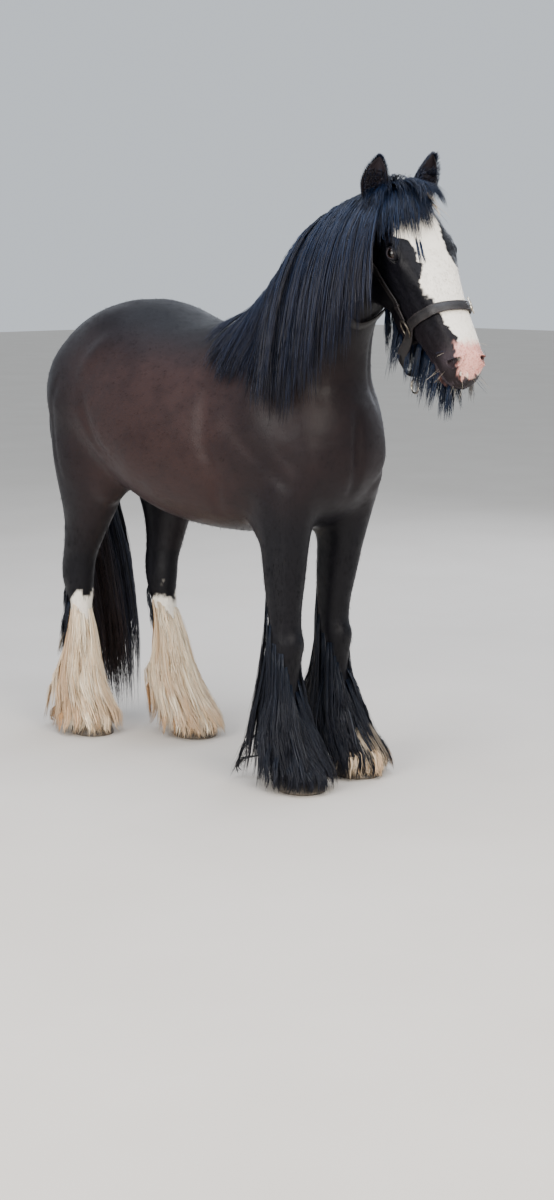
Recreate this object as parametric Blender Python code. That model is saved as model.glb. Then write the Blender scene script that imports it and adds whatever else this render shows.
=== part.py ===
"""A cob horse, standing, as a still life-size model.

The animal faces +X, its left side is +Y and +Z is up. Its hooves stand on Z = 0.
Lengths are in metres. The flesh is lofted in overlapping masses, fused, smoothed and then
parted by thin cuts. Mane, forelock, beard, tail and feather are tapered locks that are
fused to the part that they grow from.
"""

import math
import random
from collections import namedtuple

import bmesh
import bpy
from mathutils import Matrix, Vector
from mathutils.bvhtree import BVHTree

# Driving dimensions
GAP = 0.0003
MARGIN = 0.00024
SEED = 7
FLOOR_CLEAR = 0.006
GOLDEN_ANGLE = 137.5
GOLDEN_SHARE = 0.618034
RAY_START = 0.30
FLESH_VOXEL = 0.011
FLESH_SMOOTHING = 22
THIN_SMOOTHING = 2
FLESH_TRIANGLES = 3000
LEG_TRIANGLES = 1400
TAIL_TRIANGLES = 1300
NECK_TRIANGLES = 1850
HEAD_TRIANGLES = 2350
RING_POINTS = 28
STEPS_BETWEEN = 4

# The torso: place along the body, top line, belly line, half width, height of the widest
# place, and how round the top is (2 is an ellipse, less is a ridge)
Slice = namedtuple("Slice", "x top bottom half wide peak")
TORSO = (
    Slice(0.495, 1.130, 0.960, 0.065, 1.04, 2.0),
    Slice(0.465, 1.210, 0.895, 0.140, 1.04, 2.0),
    Slice(0.415, 1.290, 0.835, 0.195, 1.05, 2.0),
    Slice(0.340, 1.370, 0.792, 0.232, 1.06, 2.0),
    Slice(0.240, 1.425, 0.768, 0.258, 1.06, 1.8),
    Slice(0.140, 1.448, 0.752, 0.280, 1.05, 1.7),
    Slice(0.040, 1.414, 0.745, 0.300, 1.04, 1.8),
    Slice(-0.080, 1.395, 0.748, 0.316, 1.04, 2.1),
    Slice(-0.200, 1.405, 0.764, 0.322, 1.05, 2.2),
    Slice(-0.320, 1.447, 0.800, 0.312, 1.08, 2.2),
    Slice(-0.420, 1.466, 0.840, 0.297, 1.12, 2.2),
    Slice(-0.520, 1.456, 0.880, 0.283, 1.14, 2.2),
    Slice(-0.620, 1.425, 0.915, 0.262, 1.15, 2.2),
    Slice(-0.710, 1.372, 0.950, 0.218, 1.15, 2.1),
    Slice(-0.790, 1.295, 0.990, 0.148, 1.14, 2.0),
    Slice(-0.835, 1.215, 1.040, 0.078, 1.12, 2.0),
)

# The neck: a point on the crest, a point on the throat line, sideways place, half width
NeckSlice = namedtuple("NeckSlice", "crest_x crest_z throat_x throat_z y half peak")
NECK = (
    NeckSlice(0.020, 1.370, 0.430, 0.960, 0.000, 0.225, 1.8),
    NeckSlice(0.130, 1.478, 0.455, 1.110, 0.000, 0.190, 1.8),
    NeckSlice(0.240, 1.602, 0.465, 1.230, 0.000, 0.152, 1.7),
    NeckSlice(0.360, 1.710, 0.485, 1.330, 0.000, 0.125, 1.7),
    NeckSlice(0.480, 1.780, 0.540, 1.420, 0.000, 0.106, 1.7),
    NeckSlice(0.590, 1.800, 0.615, 1.492, -0.002, 0.094, 1.8),
    NeckSlice(0.660, 1.787, 0.700, 1.545, -0.010, 0.082, 2.0),
)

# The head's own axes: s runs down the face from the poll, n goes back towards the throat,
# and w goes to the animal's left
POLL = Vector((0.664, -0.004, 1.787))
HEAD_YAW = math.radians(-14.2)
HEAD_PITCH = math.radians(51.4)
HEAD_ROLL = math.radians(4.4)
HEAD_SCALE = 1.04

# The skull: place down the face, face line, underside, half width, and corner roundness
HeadSlice = namedtuple("HeadSlice", "s face under half wide peak")
SKULL = (
    HeadSlice(-0.030, 0.016, 0.120, 0.048, 0.5, 2.0),
    HeadSlice(0.000, -0.006, 0.180, 0.072, 0.4, 2.0),
    HeadSlice(0.060, -0.012, 0.215, 0.087, 0.3, 2.3),
    HeadSlice(0.120, -0.012, 0.232, 0.096, 0.25, 2.8),
    HeadSlice(0.180, -0.010, 0.236, 0.100, 0.25, 3.0),
    HeadSlice(0.240, -0.006, 0.230, 0.091, 0.26, 3.0),
    HeadSlice(0.310, -0.003, 0.212, 0.078, 0.30, 2.8),
    HeadSlice(0.380, -0.001, 0.190, 0.069, 0.34, 2.6),
    HeadSlice(0.450, 0.000, 0.170, 0.063, 0.38, 2.5),
    HeadSlice(0.510, 0.004, 0.154, 0.059, 0.40, 2.4),
    HeadSlice(0.550, 0.018, 0.143, 0.053, 0.42, 2.3),
    HeadSlice(0.580, 0.038, 0.126, 0.042, 0.45, 2.2),
    HeadSlice(0.596, 0.058, 0.106, 0.024, 0.5, 2.0),
)

# Round masses: their middle and their half lengths. Those of the trunk lie on both sides, and
# so do the cheek, brow, jaw, nostril and ear base of the face; the lips are in its middle
Mass = namedtuple("Mass", "place radii")
MUSCLES = (
    Mass((0.375, 0.112, 1.010), (0.102, 0.090, 0.165)),
    Mass((0.250, 0.150, 1.120), (0.130, 0.106, 0.235)),
    Mass((-0.565, 0.134, 1.150), (0.208, 0.144, 0.220)),
    Mass((-0.692, 0.104, 1.060), (0.120, 0.106, 0.205)),
    Mass((-0.440, 0.110, 1.335), (0.180, 0.120, 0.110)),
)
FACE_PAIRS = (
    Mass((0.160, 0.165, 0.052), (0.100, 0.096, 0.036)),
    Mass((0.172, 0.030, 0.082), (0.036, 0.024, 0.020)),
    Mass((0.280, 0.190, 0.030), (0.110, 0.042, 0.024)),
    Mass((0.542, 0.051, 0.036), (0.034, 0.034, 0.022)),
    Mass((0.050, 0.080, 0.060), (0.050, 0.055, 0.030)),
)
LIPS = (
    Mass((0.520, 0.140, 0.0), (0.048, 0.031, 0.036)),
    Mass((0.566, 0.084, 0.0), (0.033, 0.036, 0.036)),
)
EYE_PLACE = (0.192, 0.033, 0.090)
EYE_RADIUS = 0.0215
EYE_SUNK = 0.0150
EYE_SEGMENTS = 12
EYE_LOOK = (0.05, -0.30, 0.93)
LID_RADIUS = 0.0046
LID_OVER = 0.0010
LID_LENGTH = 0.0200
LID_HEIGHT = 0.0135
LID_POINTS = 16
NOSTRIL_PLACE = (0.528, 0.056, 0.045)
NOSTRIL_LONG = 0.0200
NOSTRIL_SHORT = 0.0115
NOSTRIL_DEEP = 0.016
NOSTRIL_RIM = 0.0042
NOSTRIL_LOOK = (0.50, -0.35, 0.80)
NOSTRIL_ALONG = (-0.50, 0.85)
NOSTRIL_HOLE = 0.84
MOUTH_CORNER = 0.485
MOUTH_N = 0.118
MOUTH_WIDTH = 0.0030
MOUTH_DEPTH = 0.007
EAR_S = 0.004
EAR_N = 0.048
EAR_W_RIGHT = 0.083
EAR_W_LEFT = 0.066
EAR_LENGTH = 0.143
EAR_BEND = 0.010
EAR_SHELL = 0.0042
EAR_POINTS = 6
EAR_OPEN_RIGHT = (0.80, 0.50)
EAR_OPEN_LEFT = (0.98, 0.12)
EAR_UP_RIGHT = Vector((0.457, -0.243, 0.848))
EAR_UP_LEFT = Vector((0.485, -0.050, 0.848))
EAR_SLICES = (
    (-0.12, 0.022, 0.022, 150),
    (0.00, 0.024, 0.023, 140),
    (0.18, 0.032, 0.026, 122),
    (0.38, 0.036, 0.026, 108),
    (0.58, 0.033, 0.023, 100),
    (0.78, 0.023, 0.017, 95),
    (0.92, 0.012, 0.010, 92),
    (1.00, 0.004, 0.004, 90),
)
NOSEBAND_S = 0.378
NOSEBAND_TILT = -0.30
NOSEBAND_DROOP = 0.120
NOSEBAND_BACKWARD = 0.16
NOSEBAND_POINTS = 30
NOSEBAND_MIDDLE_N = 0.075
HEADPIECE_PLACE = (0.050, 0.165)
HEADPIECE_LEAN = (-0.68, -0.73)
HEADPIECE_POINTS = 24
CHIN_RING_DROP = 0.024
NOSEBAND_WIDTH = 0.031
STRAP_THICKNESS = 0.0042
STRAP_CLEAR = 0.0024
STRAP_WIDTH = 0.024
RING_RADIUS = 0.026
RING_WIRE = 0.0032
RING_CLEAR = 0.0020
SIDE_RING_PLACE = (0.351, 0.155)
NOSEBAND_RING_W = 0.062
CHIN_RING_SIZE = 0.75
BUCKLE_PLACE = (0.392, 0.020)
BUCKLE_LONG = 0.017
BUCKLE_WIDE = 0.019
BUCKLE_WIRE = 0.0023
CHEEK_LINE = ((0.335, 0.150), (0.30, 0.140), (0.26, 0.131), (0.19, 0.134), (0.12, 0.138),
              (0.06, 0.130))

# The legs, from inside the body down to the coronet: height, fore and aft place, sideways
# place, half depth fore and aft, half width
LegSlice = namedtuple("LegSlice", "z x y depth half")
FORE_LEG = (
    LegSlice(1.060, 0.330, 0.130, 0.120, 0.080),
    LegSlice(0.940, 0.325, 0.135, 0.118, 0.084),
    LegSlice(0.840, 0.320, 0.132, 0.103, 0.080),
    LegSlice(0.750, 0.325, 0.128, 0.087, 0.070),
    LegSlice(0.640, 0.330, 0.124, 0.070, 0.060),
    LegSlice(0.540, 0.333, 0.120, 0.056, 0.052),
    LegSlice(0.480, 0.336, 0.118, 0.052, 0.051),
    LegSlice(0.435, 0.340, 0.118, 0.054, 0.054),
    LegSlice(0.390, 0.335, 0.118, 0.047, 0.047),
    LegSlice(0.330, 0.330, 0.118, 0.041, 0.037),
    LegSlice(0.250, 0.330, 0.120, 0.040, 0.036),
    LegSlice(0.185, 0.330, 0.122, 0.047, 0.043),
    LegSlice(0.150, 0.336, 0.123, 0.048, 0.044),
    LegSlice(0.110, 0.352, 0.125, 0.042, 0.041),
    LegSlice(0.075, 0.368, 0.126, 0.052, 0.050),
    LegSlice(0.040, 0.376, 0.127, 0.052, 0.050),
)
HIND_LEG = (
    LegSlice(1.180, -0.550, 0.130, 0.180, 0.105),
    LegSlice(1.060, -0.570, 0.145, 0.180, 0.112),
    LegSlice(0.940, -0.572, 0.152, 0.168, 0.104),
    LegSlice(0.840, -0.580, 0.152, 0.140, 0.088),
    LegSlice(0.740, -0.605, 0.145, 0.105, 0.068),
    LegSlice(0.650, -0.645, 0.138, 0.078, 0.054),
    LegSlice(0.590, -0.672, 0.132, 0.070, 0.047),
    LegSlice(0.535, -0.684, 0.128, 0.066, 0.048),
    LegSlice(0.470, -0.682, 0.125, 0.054, 0.042),
    LegSlice(0.400, -0.680, 0.122, 0.045, 0.037),
    LegSlice(0.300, -0.680, 0.120, 0.042, 0.036),
    LegSlice(0.200, -0.680, 0.118, 0.048, 0.043),
    LegSlice(0.155, -0.672, 0.117, 0.049, 0.044),
    LegSlice(0.110, -0.650, 0.116, 0.043, 0.041),
    LegSlice(0.075, -0.632, 0.116, 0.052, 0.050),
    LegSlice(0.040, -0.624, 0.116, 0.052, 0.050),
)

# Swellings of a leg: height, shift ahead and outward from its middle line, half lengths
Swelling = namedtuple("Swelling", "z ahead out radii")
FORE_SWELLINGS = (
    Swelling(0.440, 0.012, 0.0, (0.046, 0.050, 0.052)),
    Swelling(0.410, -0.034, 0.0, (0.026, 0.030, 0.034)),
    Swelling(0.175, -0.016, 0.0, (0.040, 0.040, 0.034)),
    Swelling(0.820, -0.070, 0.010, (0.060, 0.050, 0.085)),
)
HIND_SWELLINGS = (
    Swelling(0.575, -0.050, 0.0, (0.030, 0.027, 0.045)),
    Swelling(0.520, 0.006, 0.0, (0.052, 0.047, 0.060)),
    Swelling(0.185, -0.016, 0.0, (0.040, 0.040, 0.036)),
    Swelling(0.900, 0.110, 0.012, (0.070, 0.070, 0.110)),
    Swelling(0.795, 0.004, 0.010, (0.076, 0.058, 0.125)),
)

# How each leg stands away from the pattern leg: side, and shift of the hoof and of the knee
# or hock, each fore and aft and outward
Stance = namedtuple("Stance", "name side slices hoof_x hoof_out joint_x joint_out")
STANCES = (
    Stance("fore_right", -1, FORE_LEG, 0.012, 0.010, -0.016, 0.016),
    Stance("fore_left", 1, FORE_LEG, 0.000, 0.000, -0.040, -0.022),
    Stance("hind_right", -1, HIND_LEG, -0.020, 0.004, -0.010, -0.004),
    Stance("hind_left", 1, HIND_LEG, 0.272, -0.010, 0.155, -0.020),
)
JOINT_Z = 0.480
HIP_Z = 0.980

HOOF_TOP_Z = 0.078
HOOF_TOP_SLOPE = 0.18
HOOF_SOLE_DEPTH = 0.074
HOOF_SOLE_HALF = 0.068
HOOF_SOLE_FORWARD = 0.018
HOOF_TOP_DEPTH = 0.055
HOOF_TOP_HALF = 0.053

HOOF_EDGE = 0.002

# Where the flesh is parted. The legs' outlines are across the body, as (outward, up), and
# are drawn out along it over a span; the neck's is seen from the side, as (ahead, up)
FORE_CUT = [(0.018, -0.2), (0.6, -0.2), (0.6, 1.12), (0.018, 0.768)]
HIND_CUT = [(0.010, -0.2), (0.6, -0.2), (0.6, 1.32), (0.010, 0.900)]
FORE_SPAN = (0.150, 0.62)
HIND_SPAN = (-1.10, -0.345)
FORE_SPLIT_Z = 0.625
HIND_SPLIT_Z = 0.630
NECK_CUT = [(0.640, 0.909), (1.40, 0.909), (1.40, 2.10), (0.030, 2.10), (0.030, 1.531)]
HEAD_CUT_PLACE = Vector((0.606, 0.0, 1.62))
HEAD_CUT_TURN = math.radians(-7)
HEAD_CUT = [(0.0, -0.45), (0.8, -0.45), (0.8, 0.50), (0.0, 0.50)]

# The locks. A row of the mane: how many, how far to the left of the crest, length, rise as
# they leave, height over the skin, half width, half thickness
ManeRow = namedtuple("ManeRow", "count aside length rise lift half thick")
MANE_ROWS = (
    ManeRow(10, -0.012, 0.50, 0.02, 0.009, 0.036, 0.008),
    ManeRow(9, 0.010, 0.52, 0.20, 0.021, 0.037, 0.008),
)
MANE_FROM_X = 0.590
MANE_TO_X = 0.110
MANE_SUNK = 0.016
MANE_STEPS = (0.5, 0.8, 1.1, 1.2, 1.2, 1.0)
MANE_PULL = 0.34
MANE_FULL_X = 0.46
MANE_FULLER = 0.11
MANE_DROP_FROM_Z = 2.3
FORELOCK_COUNT = 7
FORELOCK_HALF = 0.021
HEAD_LOCK_THICK = 0.0065
HEAD_LOCK_SUNK = 0.014
FORELOCK_LENGTH = 0.24
FORELOCK_STEPS = (0.5, 0.9, 1.1, 1.2, 1.1)
FORELOCK_SPREAD = 0.036
FORELOCK_PULL = 0.30
FORELOCK_LIFT = 0.013
FORELOCK_OVER = 0.010
CHEEK_LOCK_COUNT = 4
CHEEK_LOCK_ROOT = Vector((0.590, -0.030, MANE_DROP_FROM_Z))
CHEEK_LOCK_HEADING = Vector((0.45, -0.8, 0))
CHEEK_LOCK_PULL = 0.45
CHEEK_LOCK_LIFT = 0.008
CHEEK_LOCK_OVER = 0.010
CHEEK_LOCK_STEP = Vector((-0.008, -0.012, 0.0))
CHEEK_LOCK_FALL = Vector((0.16, 0, -1))
CHEEK_LOCK_HALF = 0.027
CHEEK_LOCK_LENGTH = 0.34
CHEEK_LOCK_STEPS = (0.5, 1.0, 1.2, 1.2, 1.0)
BEARD_COUNT = 13
BEARD_FROM_S = 0.18
BEARD_TO_S = 0.56
BEARD_LENGTH = 0.118
BEARD_SHORTER = 0.50
BEARD_HALF = 0.033
BEARD_THICK = 0.007

# Feather: long locks down the back of the leg, from low to high, and short ones round the
# fetlock; how far they spread in front of, behind and beside the hoof's middle
Feather = namedtuple("Feather", "long_count short_count low high front back beside half thick")
FORE_FEATHER = Feather(15, 8, 0.15, 0.58, 0.106, 0.290, 0.120, 0.035, 0.008)
HIND_FEATHER = Feather(13, 8, 0.14, 0.46, 0.104, 0.262, 0.112, 0.035, 0.008)
FEATHER_SWEEP = 85
FEATHER_STEPS = 5
FEATHER_AHEAD = 0.018
FEATHER_CORE = 0.48
FEATHER_BULGE = 0.030

# The tail's middle line and reach, from the top down
TAIL_LINE = (
    (1.330, -0.790, 0.000, 0.028),
    (1.280, -0.842, 0.000, 0.040),
    (1.200, -0.868, 0.000, 0.054),
    (1.060, -0.880, 0.006, 0.080),
    (0.850, -0.868, 0.028, 0.110),
    (0.600, -0.840, 0.052, 0.126),
    (0.300, -0.795, 0.070, 0.108),
    (0.000, -0.765, 0.080, 0.074),
)
DOCK_LINE = (
    (1.336, -0.755, 0.000, 0.024),
    (1.314, -0.800, 0.000, 0.028),
    (1.262, -0.840, 0.000, 0.034),
    (1.160, -0.868, 0.002, 0.040),
    (1.000, -0.870, 0.010, 0.046),
    (0.800, -0.858, 0.025, 0.052),
    (0.500, -0.828, 0.052, 0.052),
    (0.250, -0.792, 0.070, 0.024),
)
TAIL_COUNT = 19
TAIL_TOP_Z = 1.330
TAIL_ROOT_Z = 0.900
TAIL_STEPS = 5
TAIL_HALF = 0.044
TAIL_THICK = 0.010

# The pattern is drawn about a point under the breast side of the withers; the origin is
# moved to the middle of the whole
MIDDLE = Vector((0.028, 0.0, 0.0))

COLOURS = {
    "coat": (0.020, 0.016, 0.016),
    "white_hair": (0.70, 0.66, 0.58),
    "long_hair": (0.010, 0.010, 0.013),
    "horn": (0.12, 0.10, 0.085),
    "eye": (0.008, 0.005, 0.004),
    "leather": (0.018, 0.013, 0.012),
    "metal": (0.62, 0.58, 0.50),
}


def clear_scene():
    for item in list(bpy.data.objects):
        bpy.data.objects.remove(item, do_unlink=True)


def material(name, roughness=0.6, metallic=0.0):
    """The named material, made once."""
    found = bpy.data.materials.get(name)
    if found:
        return found
    made = bpy.data.materials.new(name)
    made.use_nodes = True
    shader = made.node_tree.nodes["Principled BSDF"]
    shader.inputs["Base Color"].default_value = (*COLOURS[name], 1.0)
    shader.inputs["Roughness"].default_value = roughness
    shader.inputs["Metallic"].default_value = metallic
    return made


def faces_in_order(mesh_work):
    """Each face as vertex numbers from its lowest one on, sorted.

    The order of a shape's own faces changes from run to run, and with it which of two equally
    near faces a lock of hair lies on, so every shape gets this one.
    """
    mesh_work.verts.index_update()
    faces = []
    for face in mesh_work.faces:
        corners = [vert.index for vert in face.verts]
        first = corners.index(min(corners))
        faces.append(corners[first:] + corners[:first])
    return sorted(faces)


def new_object(name, mesh_work):
    """An object of triangles from a bmesh, which is freed."""
    bmesh.ops.triangulate(mesh_work, faces=mesh_work.faces)
    mesh = bpy.data.meshes.new(name)
    mesh.from_pydata([vert.co for vert in mesh_work.verts], [], faces_in_order(mesh_work))
    mesh_work.free()
    made = bpy.data.objects.new(name, mesh)
    bpy.context.scene.collection.objects.link(made)
    return made


def remove(objects):
    for item in objects:
        bpy.data.objects.remove(item, do_unlink=True)


def between(slices, steps):
    """The stations with smooth ones added between them, by Catmull-Rom interpolation."""
    rows = []
    last = len(slices) - 1
    for i in range(last):
        p0, p1 = slices[max(i - 1, 0)], slices[i]
        p2, p3 = slices[i + 1], slices[min(i + 2, last)]
        for k in range(steps):
            t = k / steps
            rows.append(tuple(
                0.5 * (2 * b + (c - a) * t + (2 * a - 5 * b + 4 * c - d) * t * t
                       + (3 * b - a - 3 * c + d) * t ** 3)
                for a, b, c, d in zip(p0, p1, p2, p3)
            ))
    rows.append(tuple(slices[last]))
    return [type(slices[0])(*row) for row in rows]


def rounded(angle, power):
    """Cosine and sine of a superellipse of this power."""
    c, s = math.cos(angle), math.sin(angle)
    return (math.copysign(abs(c) ** (2 / power), c), math.copysign(abs(s) ** (2 / power), s))


def ring(centre, up, side, above, below, half, peak, base=2.2, count=RING_POINTS):
    """A closed outline about centre: peak shapes the half above it, base the half below."""
    points = []
    for i in range(count):
        angle = 2 * math.pi * i / count
        c, s = rounded(angle, peak if math.cos(angle) > 0 else base)
        points.append(centre + up * (c * (above if c > 0 else below)) + side * (s * half))
    return points


def loft(rings, name="mass"):
    """A closed solid through rings of equal count, with flat ends."""
    work = bmesh.new()
    rows = [[work.verts.new(p) for p in points] for points in rings]
    count = len(rows[0])
    for first, second in zip(rows, rows[1:]):
        for i in range(count):
            j = (i + 1) % count
            work.faces.new((first[i], first[j], second[j], second[i]))
    work.faces.new(rows[0])
    work.faces.new(rows[-1][::-1])
    bmesh.ops.triangulate(work, faces=[f for f in work.faces if len(f.verts) > 4])
    bmesh.ops.recalc_face_normals(work, faces=work.faces)
    return new_object(name, work)


def ellipsoid(centre, radii, axes=None, name="mass", segments=20):
    """An ellipsoid; axes are three unit vectors for its radii."""
    work = bmesh.new()
    bmesh.ops.create_uvsphere(work, u_segments=segments, v_segments=segments // 2, radius=1.0)
    turn = Matrix(axes).transposed().to_4x4() if axes else Matrix.Identity(4)
    place = Matrix.Translation(centre) @ turn @ Matrix.Diagonal((*radii, 1.0))
    bmesh.ops.transform(work, matrix=place, verts=work.verts)
    bmesh.ops.recalc_face_normals(work, faces=work.faces)
    return new_object(name, work)


def block(centre, axes, sizes, name="cutter"):
    """A box with its own axes; sizes are its full lengths along them."""
    work = bmesh.new()
    bmesh.ops.create_cube(work, size=1.0)
    place = Matrix.Translation(centre) @ Matrix(axes).transposed().to_4x4()
    place = place @ Matrix.Diagonal((*sizes, 1.0))
    bmesh.ops.transform(work, matrix=place, verts=work.verts)
    bmesh.ops.recalc_face_normals(work, faces=work.faces)
    return new_object(name, work)


def apply_modifiers(item):
    """Makes the object's evaluated mesh its own."""
    graph = bpy.context.evaluated_depsgraph_get()
    mesh = bpy.data.meshes.new_from_object(item.evaluated_get(graph))
    item.modifiers.clear()
    item.data = mesh
    return item


def combine(item, others, operation, solver="MANIFOLD"):
    """One Boolean between the object and a collection of closed meshes, applied.

    EXACT parts the flesh. It leaves open edges where lids, nostrils or many locks cross, so
    the other cuts and unions are made by MANIFOLD.
    """
    pool = bpy.data.collections.new("boolean_pool")
    bpy.context.scene.collection.children.link(pool)
    for other in others:
        pool.objects.link(other)
    joint = item.modifiers.new("combine", "BOOLEAN")
    joint.operation = operation
    joint.solver = solver
    joint.operand_type = "COLLECTION"
    joint.collection = pool
    apply_modifiers(item)
    remove(others)
    bpy.data.collections.remove(pool)
    return item


def copy_of(item, name):
    made = bpy.data.objects.new(name, item.data.copy())
    bpy.context.scene.collection.objects.link(made)
    return made


def keep_largest(item):
    """Keeps only the largest closed surface of the object.

    The vertices are taken in the mesh's own order, so that every build gives the same solid.
    """
    work = bmesh.new()
    work.from_mesh(item.data)
    seen = set()
    groups = []
    for start in work.verts:
        if start in seen:
            continue
        seen.add(start)
        group = [start]
        for vert in group:
            for edge in vert.link_edges:
                other = edge.other_vert(vert)
                if other not in seen:
                    seen.add(other)
                    group.append(other)
        groups.append(group)

    def reach(group):
        spans = [max(v.co[i] for v in group) - min(v.co[i] for v in group) for i in range(3)]
        return math.prod(spans)

    groups.sort(key=reach)
    bmesh.ops.delete(work, geom=[v for group in groups[:-1] for v in group], context="VERTS")
    bmesh.ops.triangulate(work, faces=work.faces)
    work.to_mesh(item.data)
    work.free()
    return item


def head_axes():
    """Unit vectors down the face, back towards the throat, and to the animal's left."""
    down = Vector((
        math.cos(HEAD_YAW) * math.cos(HEAD_PITCH),
        math.sin(HEAD_YAW) * math.cos(HEAD_PITCH),
        -math.sin(HEAD_PITCH),
    ))
    left = Vector((-math.sin(HEAD_YAW), math.cos(HEAD_YAW), 0.0))
    back = down.cross(left)
    turn = Matrix.Rotation(HEAD_ROLL, 3, down)
    return down, turn @ (back if back.z < 0 else -back), turn @ left


def on_head(s, n, w):
    """A point given in the head's own axes."""
    down, back, left = head_axes()
    return POLL + (down * s + back * n + left * w) * HEAD_SCALE


def towards(s, n, w, side):
    """A unit vector given in the head's own axes, for this side of it."""
    down, back, left = head_axes()
    return (down * s + back * n + left * (w * side)).normalized()


def torso_masses():
    up, side = Vector((0, 0, 1)), Vector((0, 1, 0))
    rings = []
    for cut in between(TORSO, STEPS_BETWEEN):
        centre = Vector((cut.x, 0, cut.wide))
        rings.append(ring(centre, up, side, cut.top - cut.wide, cut.wide - cut.bottom,
                          cut.half, cut.peak))
    masses = [loft(rings)]
    for mass in MUSCLES:
        x, y, z = mass.place
        masses += [ellipsoid(Vector((x, sign * y, z)), mass.radii) for sign in (-1, 1)]
    return masses


def neck_masses():
    rings = []
    for cut in between(NECK, STEPS_BETWEEN):
        crest = Vector((cut.crest_x, cut.y, cut.crest_z))
        throat = Vector((cut.throat_x, cut.y, cut.throat_z))
        up = crest - throat
        height = up.length
        up.normalize()
        centre = throat.lerp(crest, 0.45)
        rings.append(ring(centre, up, Vector((0, 1, 0)), 0.55 * height, 0.45 * height,
                          cut.half, cut.peak))
    return [loft(rings)]


def head_masses():
    down, back, left = head_axes()
    rings = []
    for cut in between(SKULL, STEPS_BETWEEN):
        depth = cut.under - cut.face
        centre = on_head(cut.s, cut.face + depth * cut.wide, 0)
        rings.append(ring(centre, -back, left, depth * cut.wide * HEAD_SCALE,
                          depth * (1 - cut.wide) * HEAD_SCALE, cut.half * HEAD_SCALE,
                          cut.peak, 2.0))
    masses = [loft(rings)]
    lumps = [(mass, sign) for mass in FACE_PAIRS for sign in (-1, 1)]
    for mass, sign in lumps + [(mass, 1) for mass in LIPS]:
        place_s, place_n, place_w = mass.place
        masses.append(ellipsoid(on_head(place_s, place_n, sign * place_w),
                                [r * HEAD_SCALE for r in mass.radii], (down, back, left)))
    return masses


def leg_place(stance, z):
    """Shift of a leg's section at this height, fore and aft and outward."""
    if z >= HIP_Z:
        return 0.0, 0.0
    if z >= JOINT_Z:
        share = (HIP_Z - z) / (HIP_Z - JOINT_Z)
        share = share * share * (3 - 2 * share)
        return stance.joint_x * share, stance.joint_out * share
    share = (JOINT_Z - z) / JOINT_Z
    return (stance.joint_x + (stance.hoof_x - stance.joint_x) * share,
            stance.joint_out + (stance.hoof_out - stance.joint_out) * share)


def leg_sections(stance):
    """Centre and half sizes of the leg's sections."""
    for cut in between(stance.slices, STEPS_BETWEEN):
        move_x, move_out = leg_place(stance, cut.z)
        centre = Vector((cut.x + move_x, stance.side * (cut.y + move_out), cut.z))
        yield centre, cut.depth, cut.half


def leg_masses(stance):
    ahead, side = Vector((1, 0, 0)), Vector((0, 1, 0))
    rings = [ring(c, ahead, side, depth, depth, half, 2.1, 2.1, 20)
             for c, depth, half in leg_sections(stance)]
    masses = [loft(rings)]
    for lump in FORE_SWELLINGS if stance.slices is FORE_LEG else HIND_SWELLINGS:
        base = min(leg_sections(stance), key=lambda section: abs(section[0].z - lump.z))[0]
        shift = Vector((lump.ahead, stance.side * lump.out, lump.z - base.z))
        masses.append(ellipsoid(base + shift, lump.radii))
    return masses


def joined(objects, name):
    """One object that holds all these meshes, still overlapping."""
    work = bmesh.new()
    for item in objects:
        work.from_mesh(item.data)
    remove(objects)
    return new_object(name, work)


def thinned(item, count):
    """The object with its smallest triangles merged until about this many are left."""
    now = sum(len(face.vertices) - 2 for face in item.data.polygons)
    if now > count:
        fewer = item.modifiers.new("fewer", "DECIMATE")
        fewer.ratio = count / now
        fewer.use_collapse_triangulate = True
        apply_modifiers(item)
    return item


def fused_flesh():
    """All the flesh as one smooth closed surface."""
    masses = torso_masses() + neck_masses() + head_masses()
    for stance in STANCES:
        masses += leg_masses(stance)
    body = joined(masses, "flesh")
    skin = body.modifiers.new("fuse", "REMESH")
    skin.mode = "VOXEL"
    skin.voxel_size = FLESH_VOXEL
    apply_modifiers(body)
    work = bmesh.new()
    work.from_mesh(body.data)
    thin = [v for v in work.verts if v.co.z < 0.68 or (v.co.x > 0.60 and v.co.z > 1.10)]
    thinner = set(thin)
    thick = [v for v in work.verts if v not in thinner]
    for turn in range(FLESH_SMOOTHING):
        everywhere = thin if turn < THIN_SMOOTHING else []
        bmesh.ops.smooth_vert(work, verts=thick + everywhere, factor=0.5, use_axis_x=True,
                              use_axis_y=True, use_axis_z=True)
    work.to_mesh(body.data)
    work.free()
    return thinned(body, FLESH_TRIANGLES)


def grown(outline, by):
    """A convex outline, anticlockwise, with every side moved outward."""
    lines = []
    for (ax, ay), (bx, by_) in zip(outline, outline[1:] + outline[:1]):
        length = math.hypot(bx - ax, by_ - ay)
        nx, ny = (by_ - ay) / length, (ax - bx) / length
        lines.append((nx, ny, nx * ax + ny * ay + by))
    corners = []
    for (a, b, c), (d, e, f) in zip(lines[-1:] + lines[:-1], lines):
        det = a * e - b * d
        corners.append(((c * e - b * f) / det, (a * f - c * d) / det))
    return corners


def prism(outline, place, start, end, name="region"):
    """A solid with this outline, drawn out from start to end; place gives its points."""
    return loft([[place(u, v, w) for u, v in outline] for w in (start, end)], name)


def part_off(body, outline, place, start, end, name):
    """Splits the body by a prism, with the gap between: what is inside it gets the name."""
    piece = combine(copy_of(body, name), [prism(outline, place, start, end)], "INTERSECT",
                    "EXACT")
    wider = grown(outline, GAP)
    combine(body, [prism(wider, place, start - GAP, end + GAP)], "DIFFERENCE", "EXACT")
    return keep_largest(piece)


def across_leg(u, v, w):
    return Vector((w, u, v))


def along_side(u, v, w):
    return Vector((u, w, v))


def mirrored(outline, side):
    """The outline for this side, still anticlockwise."""
    return outline if side > 0 else [(-u, v) for u, v in reversed(outline)]


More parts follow.
